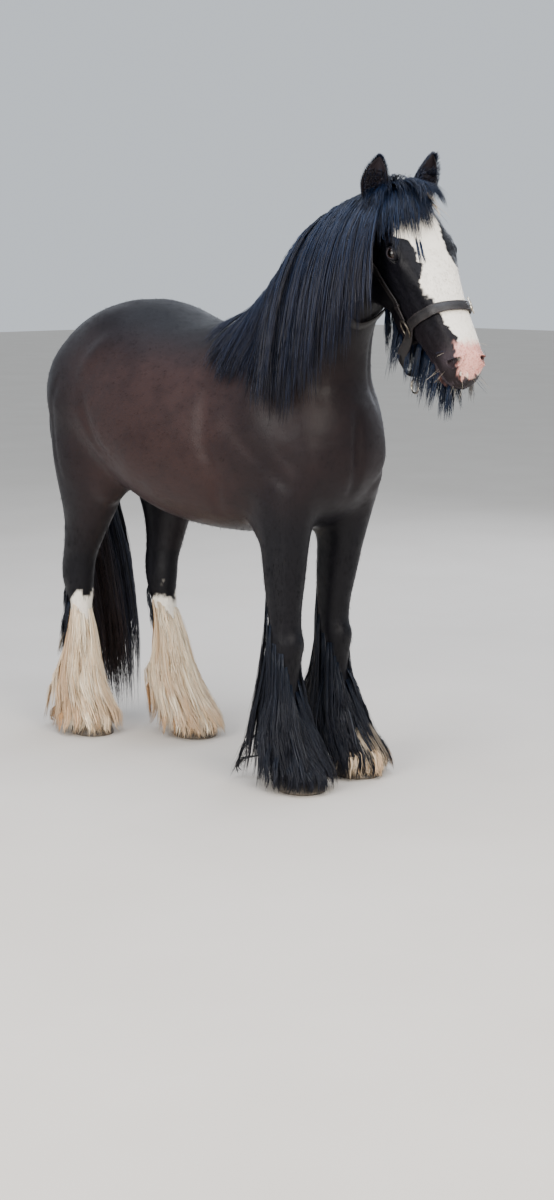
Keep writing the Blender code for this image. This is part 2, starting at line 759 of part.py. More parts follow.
def parted(body):
    """The flesh as nodes, by name."""
    nodes = {}
    for stance in STANCES:
        fore = stance.slices is FORE_LEG
        cut = FORE_CUT if fore else HIND_CUT
        span = FORE_SPAN if fore else HIND_SPAN
        leg = part_off(body, mirrored(cut, stance.side), across_leg, *span, "leg")
        split = FORE_SPLIT_Z if fore else HIND_SPLIT_Z
        below = [(-1, -0.2), (1, -0.2), (1, split), (-1, split)]
        lower = part_off(leg, below, across_leg, -1.5, 1.5, stance.name + "_lower_leg")
        off = [(-1, -0.2), (1, -0.2), (1, HOOF_TOP_Z + GAP), (-1, HOOF_TOP_Z + GAP)]
        combine(lower, [prism(off, across_leg, -1.5, 1.5)], "DIFFERENCE", "EXACT")
        nodes[lower.name] = keep_largest(lower)
        leg.name = stance.name + "_upper_leg"
        nodes[leg.name] = keep_largest(leg)
    front = part_off(body, NECK_CUT, along_side, -0.6, 0.6, "neck")
    turn = Matrix.Rotation(HEAD_CUT_TURN, 3, "Z")

    def ahead(u, v, w):
        return HEAD_CUT_PLACE + turn @ Vector((u, w, v))

    head = part_off(front, HEAD_CUT, ahead, -0.5, 0.5, "head")
    nodes["neck"] = keep_largest(front)
    nodes["head"] = head
    nodes["torso"] = keep_largest(body)
    body.name = "torso"
    return nodes


class Surface:
    """The outside of some objects, for resting things on it."""

    def __init__(self, objects):
        verts, faces = [], []
        for item in objects:
            base = len(verts)
            verts += [v.co.copy() for v in item.data.vertices]
            faces += [[base + i for i in p.vertices] for p in item.data.polygons]
        self.tree = BVHTree.FromPolygons(verts, faces)

    def hit(self, origin, direction):
        """The first point on a ray, and the normal there."""
        place, normal, _, _ = self.tree.ray_cast(origin, direction.normalized())
        return place, normal

    def clear(self, point, lift):
        """The point, moved out to this height above the surface if it is lower."""
        near, normal, _, _ = self.tree.find_nearest(point)
        if (point - near).dot(normal) < lift:
            return near + normal * lift
        return point

    def normal(self, point):
        return self.tree.find_nearest(point)[1]


def inflated(item, by, name="margin"):
    """A copy with every vertex moved out along its normal."""
    made = copy_of(item, name)
    normals = [v.normal.copy() for v in made.data.vertices]
    for vert, normal in zip(made.data.vertices, normals):
        vert.co += normal * by
    return made


def cleared(item, others):
    """The object with the others cut out of it, and the gap round them."""
    combine(item, [inflated(other, MARGIN) for other in others], "DIFFERENCE")
    return keep_largest(item)


def tube(points, radius, sides=6, closed=True, name="tube"):
    """A round wire along points."""
    count = len(points)
    work = bmesh.new()
    rows = []
    last = None
    for i, point in enumerate(points):
        ahead = points[(i + 1) % count] if closed or i < count - 1 else point
        behind = points[i - 1] if closed or i else point
        along = (ahead - behind).normalized()
        if last is None:
            last = along.orthogonal()
        last = (last - along * last.dot(along)).normalized()
        over = along.cross(last)
        rows.append([
            work.verts.new(point + (last * math.cos(a) + over * math.sin(a)) * radius)
            for a in (2 * math.pi * k / sides for k in range(sides))
        ])
    pairs = list(zip(rows, rows[1:]))
    if closed:
        shift = min(range(sides), key=lambda k: (rows[-1][0].co - rows[0][k].co).length)
        pairs.append((rows[-1], rows[0][shift:] + rows[0][:shift]))
    for first, second in pairs:
        for k in range(sides):
            m = (k + 1) % sides
            work.faces.new((first[k], first[m], second[m], second[k]))
    if not closed:
        work.faces.new(rows[0])
        work.faces.new(rows[-1][::-1])
    bmesh.ops.recalc_face_normals(work, faces=work.faces)
    return new_object(name, work)


def eye_frame(surface, side):
    """Centre of the eyeball and its outward direction."""
    down, back, left = head_axes()
    s, n, _ = EYE_PLACE
    out = towards(*EYE_LOOK, side)
    origin = on_head(s, n, side * RAY_START)
    place, _ = surface.hit(origin, -left * side)
    return place - out * EYE_SUNK, out


def add_eye(head, surface, side, name):
    """Lids and socket in the head, and the eyeball in them."""
    down = head_axes()[0]
    centre, out = eye_frame(surface, side)
    across = (down - out * down.dot(out)).normalized()
    upward = out.cross(across)
    upward = upward if upward.z > 0 else -upward
    lids = []
    for i in range(LID_POINTS):
        angle = 2 * math.pi * i / LID_POINTS
        along, high = math.cos(angle) * LID_LENGTH, math.sin(angle) * LID_HEIGHT
        reach = math.sqrt(max((EYE_RADIUS + LID_OVER) ** 2 - along ** 2 - high ** 2, 0))
        lids.append(centre + across * along + upward * high + out * reach)
    combine(head, [tube(lids, LID_RADIUS, 6)], "UNION")
    socket = ellipsoid(centre, [EYE_RADIUS + GAP] * 3, segments=EYE_SEGMENTS)
    combine(head, [socket], "DIFFERENCE")
    return ellipsoid(centre, [EYE_RADIUS] * 3, name=name, segments=EYE_SEGMENTS)


def add_nostril(head, surface, side):
    """The hole of a nostril and its rim."""
    s, n, _ = NOSTRIL_PLACE
    out = towards(*NOSTRIL_LOOK, side)
    place, _ = surface.hit(on_head(s, n, 0) + out * RAY_START, -out)
    long_way = towards(*NOSTRIL_ALONG, 0, side)
    long_way = (long_way - out * long_way.dot(out)).normalized()
    short_way = out.cross(long_way)
    rim = []
    for i in range(12):
        angle = 2 * math.pi * i / 12
        point = (place + long_way * math.cos(angle) * NOSTRIL_LONG
                 + short_way * math.sin(angle) * NOSTRIL_SHORT)
        rim.append(surface.clear(point, 0.0))
    combine(head, [tube(rim, NOSTRIL_RIM, 6)], "UNION")
    radii = (NOSTRIL_LONG * NOSTRIL_HOLE, NOSTRIL_SHORT * NOSTRIL_HOLE, NOSTRIL_DEEP)
    hole = ellipsoid(place, radii, (long_way, short_way, long_way.cross(short_way)), segments=12)
    combine(head, [hole], "DIFFERENCE")


def cut_mouth(head):
    """The line between the lips, as deep as a shallow groove."""
    down, back, left = head_axes()
    groove = block(on_head(MOUTH_CORNER + 0.10, MOUTH_N, 0), (down, back, left),
                   (0.20, MOUTH_WIDTH, 0.30), "groove")
    core = inflated(head, -MOUTH_DEPTH)
    combine(groove, [core], "DIFFERENCE")
    combine(head, [groove], "DIFFERENCE")
    keep_largest(head)


def make_ear(surface, side, name):
    """A cupped ear: a leaf-shaped shell, open to the front and outward."""
    left = head_axes()[2]
    base = on_head(EAR_S, EAR_N, EAR_W_LEFT if side > 0 else -EAR_W_RIGHT)
    up = EAR_UP_LEFT if side > 0 else EAR_UP_RIGHT
    up = up.normalized()
    ahead, out = EAR_OPEN_LEFT if side > 0 else EAR_OPEN_RIGHT
    opening = (ahead * Vector((math.cos(HEAD_YAW), math.sin(HEAD_YAW), 0))
               + left * side * out)
    opening = (opening - up * opening.dot(up)).normalized()
    across = up.cross(opening)
    rings = []
    for t, half, deep, spread in EAR_SLICES:
        centre = base + up * (EAR_LENGTH * t) - opening * (EAR_BEND * t * t)
        arc = math.radians(spread)
        points = []
        for layer, order in ((0.0, range(EAR_POINTS)), (EAR_SHELL, reversed(range(EAR_POINTS)))):
            for k in order:
                angle = arc * (2 * k / (EAR_POINTS - 1) - 1)
                thin = min(layer, 0.5 * half, 0.5 * deep)
                points.append(centre + across * math.sin(angle) * (half - thin)
                              - opening * math.cos(angle) * (deep - thin))
        rings.append(points)
    return loft(rings, name)


def strap(points, surface, name, width=STRAP_WIDTH, closed=False):
    """A flat band that lies on the surface along these points."""
    count = len(points)
    half = STRAP_THICKNESS / 2
    lift = STRAP_CLEAR + half
    path = [surface.clear(p, lift) for p in points]
    for _ in range(4):
        ends = range(count) if closed else range(1, count - 1)
        moved = list(path)
        for i in ends:
            moved[i] = (path[i - 1] + path[i] * 2 + path[(i + 1) % count]) / 4
        path = [surface.clear(p, lift) for p in moved]
    normals = [surface.normal(p) for p in path]
    for _ in range(3):
        normals = [(normals[i - 1] + normals[i] * 2 + normals[(i + 1) % count]).normalized()
                   if closed or 0 < i < count - 1 else normals[i] for i in range(count)]
    rings = []
    for i, point in enumerate(path):
        ahead = path[(i + 1) % count] if closed or i < count - 1 else point
        behind = path[i - 1] if closed or i else point
        along = (ahead - behind).normalized()
        out = (normals[i] - along * normals[i].dot(along)).normalized()
        wide = along.cross(out) * (width / 2)
        out = out * half
        rings.append([point + wide + out, point - wide + out, point - wide - out,
                      point + wide - out])
    work = bmesh.new()
    rows = [[work.verts.new(p) for p in ring_points] for ring_points in rings]
    pairs = list(zip(rows, rows[1:])) + ([(rows[-1], rows[0])] if closed else [])
    for first, second in pairs:
        for k in range(4):
            m = (k + 1) % 4
            work.faces.new((first[k], first[m], second[m], second[k]))
    if not closed:
        work.faces.new(rows[0])
        work.faces.new(rows[-1][::-1])
    bmesh.ops.recalc_face_normals(work, faces=work.faces)
    return new_object(name, work)


def around(surface, centre, first, second, angles):
    """Points where rays towards centre, in the plane of two directions, meet the surface."""
    points = []
    for angle in angles:
        out = first * math.cos(angle) + second * math.sin(angle)
        place, _ = surface.hit(centre + out * RAY_START, -out)
        if place is not None:
            points.append(place)
    return points


def turns(start, end, count, closed=False):
    """Angles in radians between two in degrees."""
    last = count if closed else count - 1
    return [math.radians(start + (end - start) * k / last) for k in range(count)]


def hung(point, behind, aside):
    """A point of the noseband, let down where the strap hangs loose between its rings."""
    if behind <= 0:
        return point
    drop = NOSEBAND_DROOP * max(0, 1 - (aside / NOSEBAND_RING_W) ** 2)
    return point - Vector((NOSEBAND_BACKWARD * drop, 0, drop))


def make_headcollar(head, neck):
    """The straps and rings, each its own node."""
    surface = Surface([head, neck])
    down, back, left = head_axes()
    nose_back = (back + down * NOSEBAND_TILT).normalized()
    middle = on_head(NOSEBAND_S, NOSEBAND_MIDDLE_N, 0)
    nose = around(surface, middle, -nose_back, left, turns(0, 360, NOSEBAND_POINTS, closed=True))
    nose = [hung(p, (p - middle).dot(nose_back), (p - middle).dot(left)) for p in nose]
    noseband = strap(nose, surface, "noseband", NOSEBAND_WIDTH, closed=True)
    poll = around(surface, on_head(*HEADPIECE_PLACE, 0), towards(*HEADPIECE_LEAN, 0, 1), left,
                  turns(0, 360, HEADPIECE_POINTS, closed=True))
    headpiece = strap(poll, surface, "headpiece", STRAP_WIDTH, closed=True)
    nodes = [noseband, headpiece]
    for side, word in ((-1, "right"), (1, "left")):
        points = []
        for s, n in CHEEK_LINE:
            place, _ = surface.hit(on_head(s, n, side * RAY_START), -left * side)
            points.append(place)
        cheek = strap(refined(points, 2), surface, "cheek_strap_" + word)
        nodes.append(cleared(cheek, [noseband, headpiece]))
        place, normal = surface.hit(on_head(*SIDE_RING_PLACE, side * RAY_START), -left * side)
        metal = make_ring(place, normal, back, down, "ring_" + word)
        nodes.append(cleared(metal, [noseband, cheek]))
    low = min((v.co.copy() for v in noseband.data.vertices), key=lambda c: c.z)
    low.z -= CHIN_RING_DROP
    metal = make_ring(low, left, back, down, "chin_ring", CHIN_RING_SIZE)
    nodes.append(cleared(metal, [noseband]))
    nodes.append(cleared(make_buckle(surface), [noseband]))
    for item in nodes:
        cleared(item, [head])
    return nodes


def refined(points, steps):
    """More points on the same line."""
    line = []
    for a, b in zip(points, points[1:]):
        line += [a.lerp(b, k / steps) for k in range(steps)]
    return line + [points[-1]]


def make_ring(place, normal, first, second, name, size=1.0):
    """A metal ring that lies over the straps."""
    over = normal.normalized()
    first = (first - over * first.dot(over)).normalized()
    second = over.cross(first)
    centre = place + over * (STRAP_CLEAR + STRAP_THICKNESS + RING_WIRE + RING_CLEAR)
    points = [centre + (first * math.cos(a) + second * math.sin(a)) * RING_RADIUS * size
              for a in turns(0, 360, 14, closed=True)]
    return tube(points, RING_WIRE, 5, name=name)


def make_buckle(surface):
    """The oblong frame of the buckle on the far side of the noseband."""
    _, back, left = head_axes()
    place, normal = surface.hit(on_head(*BUCKLE_PLACE, RAY_START), -left)
    along = (back - normal * back.dot(normal)).normalized()
    over = normal.cross(along)
    centre = place + normal * (STRAP_CLEAR + STRAP_THICKNESS + BUCKLE_WIRE + RING_CLEAR)
    points = []
    for angle in turns(0, 360, 12, closed=True):
        c, s = rounded(angle, 6)
        points.append(centre + along * c * BUCKLE_LONG + over * s * BUCKLE_WIDE)
    return tube(points, BUCKLE_WIRE, 5, name="buckle")


def make_hoof(stance, name):
    """A broad hoof with a flat sole on the floor."""
    section = min(leg_sections(stance), key=lambda s: abs(s[0].z - HOOF_TOP_Z))[0]
    rings = []
    for share in (0.0, 0.04, 0.5, 1.0):
        z = (HOOF_TOP_Z - GAP) * share
        spread = 1 - share if share else 1.0
        ahead = HOOF_SOLE_FORWARD * spread
        depth = HOOF_TOP_DEPTH + (HOOF_SOLE_DEPTH - HOOF_TOP_DEPTH) * spread
        half = HOOF_TOP_HALF + (HOOF_SOLE_HALF - HOOF_TOP_HALF) * spread
        if not share:
            depth, half = depth - HOOF_EDGE, half - HOOF_EDGE
        centre = Vector((section.x + ahead, section.y, z))
        rings.append(ring(centre, Vector((1, 0, 0)), Vector((0, 1, 0)), depth, depth * 0.92,
                          half, 2.1, 2.6, 18))
    return loft(rings, name)


def lock(path, ups, half, thick, name="lock"):
    """A flat tapered lock of hair: flat beneath, ridged above, widest midway, with one tip."""
    work = bmesh.new()
    last = len(path) - 1
    rows = []
    for i, point in enumerate(path[:-1]):
        along = (path[i + 1] - path[max(i - 1, 0)]).normalized()
        up = (ups[i] - along * ups[i].dot(along)).normalized()
        side = along.cross(up)
        share = i / last
        wide = side * half * (0.55 + 1.3 * share - 1.45 * share * share)
        high = up * thick * (1.0 - 0.55 * share)
        rows.append([work.verts.new(point + move)
                     for move in (wide - high * 0.3, high, -wide - high * 0.3)])
    tip = work.verts.new(path[-1])
    for first, second in zip(rows, rows[1:]):
        for k in range(3):
            m = (k + 1) % 3
            work.faces.new((first[k], first[m], second[m], second[k]))
    for k in range(3):
        work.faces.new((rows[-1][k], rows[-1][(k + 1) % 3], tip))
    work.faces.new(rows[0][::-1])
    bmesh.ops.recalc_face_normals(work, faces=work.faces)
    return new_object(name, work)


def settled(path, surface, lift):
    """The path lifted clear of the surface and the floor."""
    line = []
    for point in path:
        point = surface.clear(point, lift)
        point.z = max(point.z, FLOOR_CLEAR)
        line.append(point)
    return line


def ups_for(path, surface, fallback):
    """A direction off the lie of the hair at each point."""
    found = []
    for point in path:
        _, normal, _, away = surface.tree.find_nearest(point)
        if away < 0.09:
            fallback = (fallback + normal * 2).normalized()
        found.append(fallback)
    return found


def falling(start, heading, length, surface, lift, pull, steps, down=Vector((0, 0, -1))):
    """A path that leaves start, bends down under its weight and lies on the surface."""
    path = [start]
    for i, part in enumerate(steps):
        heading = (heading * (1 - pull) + down * pull).normalized()
        rise = lift * min(1.0, 0.4 + 0.3 * i)
        point = surface.clear(path[-1] + heading * (length * part / sum(steps)), rise)
        heading = (point - path[-1]).normalized()
        path.append(point)
    return path


def mane_locks(flesh, surface, rng):
    """Locks that leave the crest of the flesh and fall down the right side of the neck."""
    crest = [(cut.crest_x, cut.y) for cut in between(NECK, STEPS_BETWEEN)]
    locks = []
    for row in MANE_ROWS:
        for k in range(row.count):
            share = (k + 0.5 + rng.uniform(-0.25, 0.25)) / row.count
            x = MANE_FROM_X + (MANE_TO_X - MANE_FROM_X) * share
            y = min(crest, key=lambda c: abs(c[0] - x))[1] + row.aside
            top, normal = flesh.hit(Vector((x, y, MANE_DROP_FROM_Z)), Vector((0, 0, -1)))
            length = row.length * (0.72 + 0.42 * math.sin(math.pi * (0.12 + 0.75 * share)))
            length *= rng.uniform(0.90, 1.10)
            heading = Vector((rng.uniform(-0.20, 0.05), -1.0, row.rise))
            lift = row.lift * rng.uniform(0.85, 1.2) + MANE_FULLER * max(x - MANE_FULL_X, 0)
            path = falling(top, heading, length, surface, lift, MANE_PULL, MANE_STEPS)
            path = [top - normal * MANE_SUNK] + path[1:]
            ups = ups_for(path, surface, normal)
            locks.append(lock(path, ups, row.half * rng.uniform(0.85, 1.15), row.thick))
    return locks


def forelock_locks(surface, rng):
    """Locks that leave the poll between the ears and lie down the forehead."""
    down, back, left = head_axes()
    locks = []
    for k in range(FORELOCK_COUNT):
        share = (k + 0.5) / FORELOCK_COUNT * 2 - 1
        root = on_head(-0.004, 0.03, share * FORELOCK_SPREAD)
        top, normal = surface.hit(root - back * RAY_START, back)
        heading = (down * 0.4 - back * 0.85 + left * share * 0.35).normalized()
        length = FORELOCK_LENGTH * (1 - 0.30 * abs(share)) * rng.uniform(0.80, 1.1)
        lift = FORELOCK_LIFT * rng.uniform(0.8, 1.2) + FORELOCK_OVER * (k % 2)
        path = falling(top, heading, length, surface, lift, FORELOCK_PULL, FORELOCK_STEPS)
        path = [top - normal * HEAD_LOCK_SUNK] + path[1:]
        locks.append(lock(path, ups_for(path, surface, normal), FORELOCK_HALF, HEAD_LOCK_THICK))
    return locks


def cheek_locks(flesh, surface, rng):
    """Locks that leave the top of the neck behind the right ear and hang over the cheek."""
    locks = []
    for k in range(CHEEK_LOCK_COUNT):
        start = CHEEK_LOCK_ROOT + CHEEK_LOCK_STEP * k
        top, normal = flesh.hit(start, Vector((0, 0, -1)))
        length = CHEEK_LOCK_LENGTH * rng.uniform(0.8, 1.1)
        lift = CHEEK_LOCK_LIFT + CHEEK_LOCK_OVER * (k % 2)
        path = falling(top, CHEEK_LOCK_HEADING, length, surface, lift, CHEEK_LOCK_PULL,
                       CHEEK_LOCK_STEPS, CHEEK_LOCK_FALL)
        path = [top - normal * HEAD_LOCK_SUNK] + path[1:]
        locks.append(lock(path, ups_for(path, surface, normal), CHEEK_LOCK_HALF, HEAD_LOCK_THICK))
    return locks


def beard_locks(surface, rng):
    """Short hair that hangs under the jaw and chin."""
    _, back, left = head_axes()
    locks = []
    for k in range(BEARD_COUNT):
        share = k / (BEARD_COUNT - 1)
        s = BEARD_FROM_S + (BEARD_TO_S - BEARD_FROM_S) * share
        root = on_head(s, RAY_START, rng.uniform(0.006, 0.014) * (-1) ** k)
        place, normal = surface.hit(root, -back)
        length = BEARD_LENGTH * (1 - BEARD_SHORTER * max(0, share - 0.7) / 0.3)
        length *= rng.uniform(0.82, 1.08)
        path = [place - normal * 0.010]
        for i in range(1, 5):
            step = length * i / 4
            path.append(place + normal * 0.25 * step + Vector((0, 0, -0.95 * step)))
        locks.append(lock(path, [left * (-1) ** k] * 5, BEARD_HALF, BEARD_THICK))
    return locks


def bezier(a, b, c, t):
    return a * (1 - t) ** 2 + b * (2 * t * (1 - t)) + c * t * t


def feather_core(stance, style):
    """The dense inner hair behind the leg, less than half way out to the tips."""
    rings = []
    for centre, depth, half in leg_sections(stance):
        if not style.low * 0.5 < centre.z < style.high * 0.9:
            continue
        share = 1 - (centre.z - style.low * 0.5) / (style.high * 0.9 - style.low * 0.5)
        back = depth * 0.8 + (FEATHER_CORE * style.back - depth * 0.8) * share
        beside = half * 0.8 + (FEATHER_CORE * style.beside - half * 0.4) * share
        rings.append(ring(centre, Vector((-1, 0, 0)), Vector((0, 1, 0)), back, depth * 0.8,
                          beside, 2, 2, 12))
    return loft(rings, "core")


def feather_locks(stance, style, held, surface, rng):
    """Long hair that leaves the leg and its core and spreads over the hoof."""
    sections = list(leg_sections(stance))
    hoof = min(sections, key=lambda s: abs(s[0].z - HOOF_TOP_Z))[0]
    plan = []
    for k in range(style.long_count):
        share = (k * GOLDEN_SHARE) % 1
        z = style.low + (style.high - style.low) * share
        sweep = FEATHER_SWEEP * (2 * (k + 0.5) / style.long_count - 1)
        plan.append((z, 180 + sweep + rng.uniform(-6, 6), True))
    for k in range(style.short_count):
        plan.append((rng.uniform(0.115, 0.165), 360 * (k + 0.5) / style.short_count, False))
    locks = []
    for z, angle, long_lock in plan:
        centre = min(sections, key=lambda s: abs(s[0].z - z))[0]
        turn = math.radians(angle)
        radial = Vector((math.cos(turn), math.sin(turn), 0))
        place, normal = held.hit(Vector((centre.x, centre.y, z)) + radial * 0.25, -radial)
        back = style.back if long_lock else 0.6 * style.back
        reach_x = (back if radial.x < 0 else style.front) * rng.uniform(0.82, 1.04)
        reach_y = style.beside * rng.uniform(0.85, 1.04)
        target = hoof + Vector((FEATHER_AHEAD + radial.x * reach_x, radial.y * reach_y, 0))
        target.z = rng.uniform(0.010, 0.040) if long_lock else rng.uniform(0.008, 0.020)
        off = Vector((radial.x / reach_x, radial.y / reach_y, 0)).normalized()
        middle = place.lerp(target, 0.45) + radial * FEATHER_BULGE * (1.0 if long_lock else 0.35)
        middle.z = target.z + (z - target.z) * (0.52 if long_lock else 0.65)
        steps = FEATHER_STEPS if long_lock else FEATHER_STEPS - 1
        path = [bezier(place, middle, target, i / steps) for i in range(1, steps + 1)]
        path = [place - normal * 0.013] + settled(path, surface, 0.006)
        wide = style.half * rng.uniform(0.85, 1.15)
        locks.append(lock(path, [off + Vector((0, 0, 0.2))] * len(path), wide, style.thick))
    return locks


def tail_centre(z):
    """The middle of the tail at this height, and its reach there."""
    for (z0, x0, y0, r0), (z1, x1, y1, r1) in zip(TAIL_LINE, TAIL_LINE[1:]):
        if z >= z1:
            t = min(max((z0 - z) / (z0 - z1), 0), 1)
            return Vector((x0 + (x1 - x0) * t, y0 + (y1 - y0) * t, z)), r0 + (r1 - r0) * t
    z1, x1, y1, r1 = TAIL_LINE[-1]
    return Vector((x1, y1, z)), r1


def make_tail(obstacles, surface, rng):
    """The dock with locks that hang from it to the floor."""
    rings = []
    for z, x, y, reach in DOCK_LINE:
        rings.append(ring(Vector((x, y, z)), Vector((-1, 0, 0.25)).normalized(), Vector((0, 1, 0)),
                          reach, reach * 0.8, reach, 2, 2, 12))
    tail = loft(rings, "tail")
    locks = []
    for k in range(TAIL_COUNT):
        share = (k + 0.5) / TAIL_COUNT
        angle = math.radians(GOLDEN_ANGLE * k)
        top = TAIL_TOP_Z - (TAIL_TOP_Z - TAIL_ROOT_Z) * share
        low = 0.008 + 0.30 * rng.random() ** 2.2
        path = []
        for i in range(TAIL_STEPS + 1):
            z = top + (low - top) * i / TAIL_STEPS
            centre, reach = tail_centre(z)
            part = (0.35 + 0.65 * min(i / 2.5, 1)) * (1.0 if k % 2 else 0.72)
            turn = angle + 0.35 * i / TAIL_STEPS
            path.append(centre + Vector((math.cos(turn), math.sin(turn), 0)) * reach * part)
        path = [path[0].lerp(tail_centre(top)[0], 0.5)] + settled(path[1:], surface, 0.005)
        ups = [(p - tail_centre(p.z)[0] + Vector((0, 0, 0.001))).normalized() for p in path]
        locks.append(lock(path, ups, TAIL_HALF * rng.uniform(0.8, 1.2), TAIL_THICK))
    combine(tail, locks, "UNION")
    thinned(keep_largest(tail), TAIL_TRIANGLES)
    return cleared(tail, obstacles)


def finish(nodes):
    """Materials, names and plain meshes."""
    for name, item in nodes.items():
        item.name = name
        item.data.name = name
        work = bmesh.new()
        work.from_mesh(item.data)
        bmesh.ops.triangulate(work, faces=work.faces)
        bmesh.ops.translate(work, vec=-MIDDLE, verts=work.verts)
        work.to_mesh(item.data)
        work.free()
        item.data.materials.clear()
        item.data.materials.append(material(slot_of(name)))


def slot_of(name):
    """Which material a node has."""
    if name.startswith("hoof"):
        return "horn"
    if name.startswith("eye"):
        return "eye"
    if "ring" in name or "buckle" in name:
        return "metal"
    if "strap" in name or name in ("noseband", "headpiece"):
        return "leather"
    if name.startswith("hind") and "lower" in name:
        return "white_hair"
    if name == "tail":
        return "long_hair"
    return "coat"


def main():
    clear_scene()
    rng = random.Random(SEED)
    body = fused_flesh()
    whole = Surface([body])
    nodes = parted(body)
    head = nodes["head"]
    for side, word in ((-1, "right"), (1, "left")):
        ear = make_ear(whole, side, "ear_" + word)
        nodes["ear_" + word] = cleared(ear, [head])
    for side, word in ((-1, "right"), (1, "left")):
        nodes["eye_" + word] = add_eye(head, whole, side, "eye_" + word)
        add_nostril(head, whole, side)
    cut_mouth(head)
    for stance in STANCES:
        name = "hoof_" + stance.name
        nodes[name] = make_hoof(stance, name)
    collar = make_headcollar(head, nodes["neck"])
    for item in collar:
        nodes[item.name] = item
    ground = Surface([nodes[name] for name in nodes])
    locks = mane_locks(whole, ground, rng) + cheek_locks(whole, ground, rng)
    combine(nodes["neck"], locks, "UNION")
    thinned(keep_largest(nodes["neck"]), NECK_TRIANGLES)
    ears = [nodes["ear_right"], nodes["ear_left"]]
    combine(head, forelock_locks(ground, rng) + beard_locks(ground, rng), "UNION")
    thinned(keep_largest(head), HEAD_TRIANGLES)
    cleared(head, collar + ears)
    cleared(nodes["neck"], collar + ears + [head, nodes["torso"]])
    for stance in STANCES:
        lower = nodes[stance.name + "_lower_leg"]
        style = FORE_FEATHER if stance.slices is FORE_LEG else HIND_FEATHER
        combine(lower, [feather_core(stance, style)], "UNION")
        keep_largest(lower)
        held = Surface([lower])
        combine(lower, feather_locks(stance, style, held, ground, rng), "UNION")
        thinned(keep_largest(lower), LEG_TRIANGLES)
        cleared(lower, [nodes["hoof_" + stance.name], nodes[stance.name + "_upper_leg"]])
    behind = [nodes[name] for name in nodes if name == "torso" or name.startswith("hind")]
    nodes["tail"] = make_tail(behind, ground, rng)
    finish(nodes)


main()
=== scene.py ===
"""A standing cob horse: one skin, coat, long hair, hooves and headcollar over the solids.

The flesh is lofted from the same masses as the solids, fused, smoothed and carved as one skin.
All places are in metres in the pattern's axes: +X ahead, +Y to the animal's left, +Z up. The
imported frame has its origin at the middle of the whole, MIDDLE away, and every mesh is moved
there as it is made.
"""

import logging
import math
from dataclasses import dataclass, field
from enum import Enum

import bmesh
import bpy
import numpy as np
from mathutils import Matrix, Vector
from mathutils.bvhtree import BVHTree


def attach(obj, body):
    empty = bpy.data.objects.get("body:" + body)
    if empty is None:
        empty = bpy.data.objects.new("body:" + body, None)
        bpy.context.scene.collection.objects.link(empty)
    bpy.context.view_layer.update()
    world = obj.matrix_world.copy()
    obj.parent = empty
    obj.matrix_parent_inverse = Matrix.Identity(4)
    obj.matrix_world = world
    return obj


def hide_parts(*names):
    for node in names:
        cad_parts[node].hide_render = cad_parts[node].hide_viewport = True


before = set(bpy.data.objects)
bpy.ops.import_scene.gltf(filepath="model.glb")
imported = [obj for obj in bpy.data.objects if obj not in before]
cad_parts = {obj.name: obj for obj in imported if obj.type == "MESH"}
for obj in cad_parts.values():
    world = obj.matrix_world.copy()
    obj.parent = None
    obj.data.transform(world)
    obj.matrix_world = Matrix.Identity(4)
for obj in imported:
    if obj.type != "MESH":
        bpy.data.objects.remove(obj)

log = logging.getLogger("cob")

Array = np.ndarray
Mesh = bpy.types.Mesh
Material = bpy.types.Material
Tree = bpy.types.NodeTree
Socket = bpy.types.NodeSocket
Form = tuple[Array, list[list[int]]]

MIDDLE = np.array((0.028, 0.0, 0.0))
BODY = "root"
SEED = 11
MILLIMETRE = 0.001
COAT_DEPTH = 0.0022
FLOOR_CLEAR = 0.003
# Side of each tuft's patch on the coat's map
PATCH = 0.003
MAP_NAME = "OFBake"
# How deep long hair is rooted, and a height above the whole animal
ROOT_DEPTH = 0.006
ABOVE = 2.3
# Least height of long and of finer hair over the skin, and how many parts a fallen lock has
LONG_CLEAR, FINE_CLEAR = 0.003, 0.002
LOCK_PARTS = 8
# Hair that the skin pushes out: how near it is looked for, and how deep is too deep
SEEK, DEEP = 0.12, 0.06
# Steps of the golden ratio and of the plastic number, which spread places evenly
GOLDEN, PLASTIC, GOLDEN_TURN = 0.618034, 0.754878, 137.5
# What the random draws of each kind of hair add to SEED
FORELOCK, BEARD, TAIL, SHORT, EAR, FEATHER = 1, 2, 3, 4, 7, 20
# Only the neck and head reach over this height
HEAD_LOW = 1.1
# How far outside the head rays towards it start
OUTSIDE = 0.30
TURN = 2 * math.pi
UP, SIDEWAYS, AHEAD = np.array((0, 0, 1.0)), np.array((0, 1.0, 0)), np.array((1.0, 0, 0))
DOWN = Vector((0, 0, -1))


class Slot(Enum):
    """The record's material slots."""

    COAT = "coat"
    WHITE = "white_hair"
    LONG = "long_hair"
    HORN = "horn"
    EYE = "eye"
    LEATHER = "leather"
    METAL = "metal"


class Side(Enum):
    """The animal's sides, with the sign of Y."""

    RIGHT = -1
    LEFT = 1

    @property
    def word(self) -> str:
        """The side's name as the nodes have it."""
        return self.name.lower()


def linear(code: str) -> tuple[float, float, float, float]:
    """The linear colour of an sRGB hex code.

    Args:
        code: the colour, such as "#07070b".

    Returns:
        Red, green, blue and an alpha of one.
    """
    parts = [int(code[i:i + 2], 16) / 255 for i in (1, 3, 5)]
    turned = [p / 12.92 if p <= 0.04045 else ((p + 0.055) / 1.055) ** 2.4 for p in parts]
    return (*turned, 1.0)


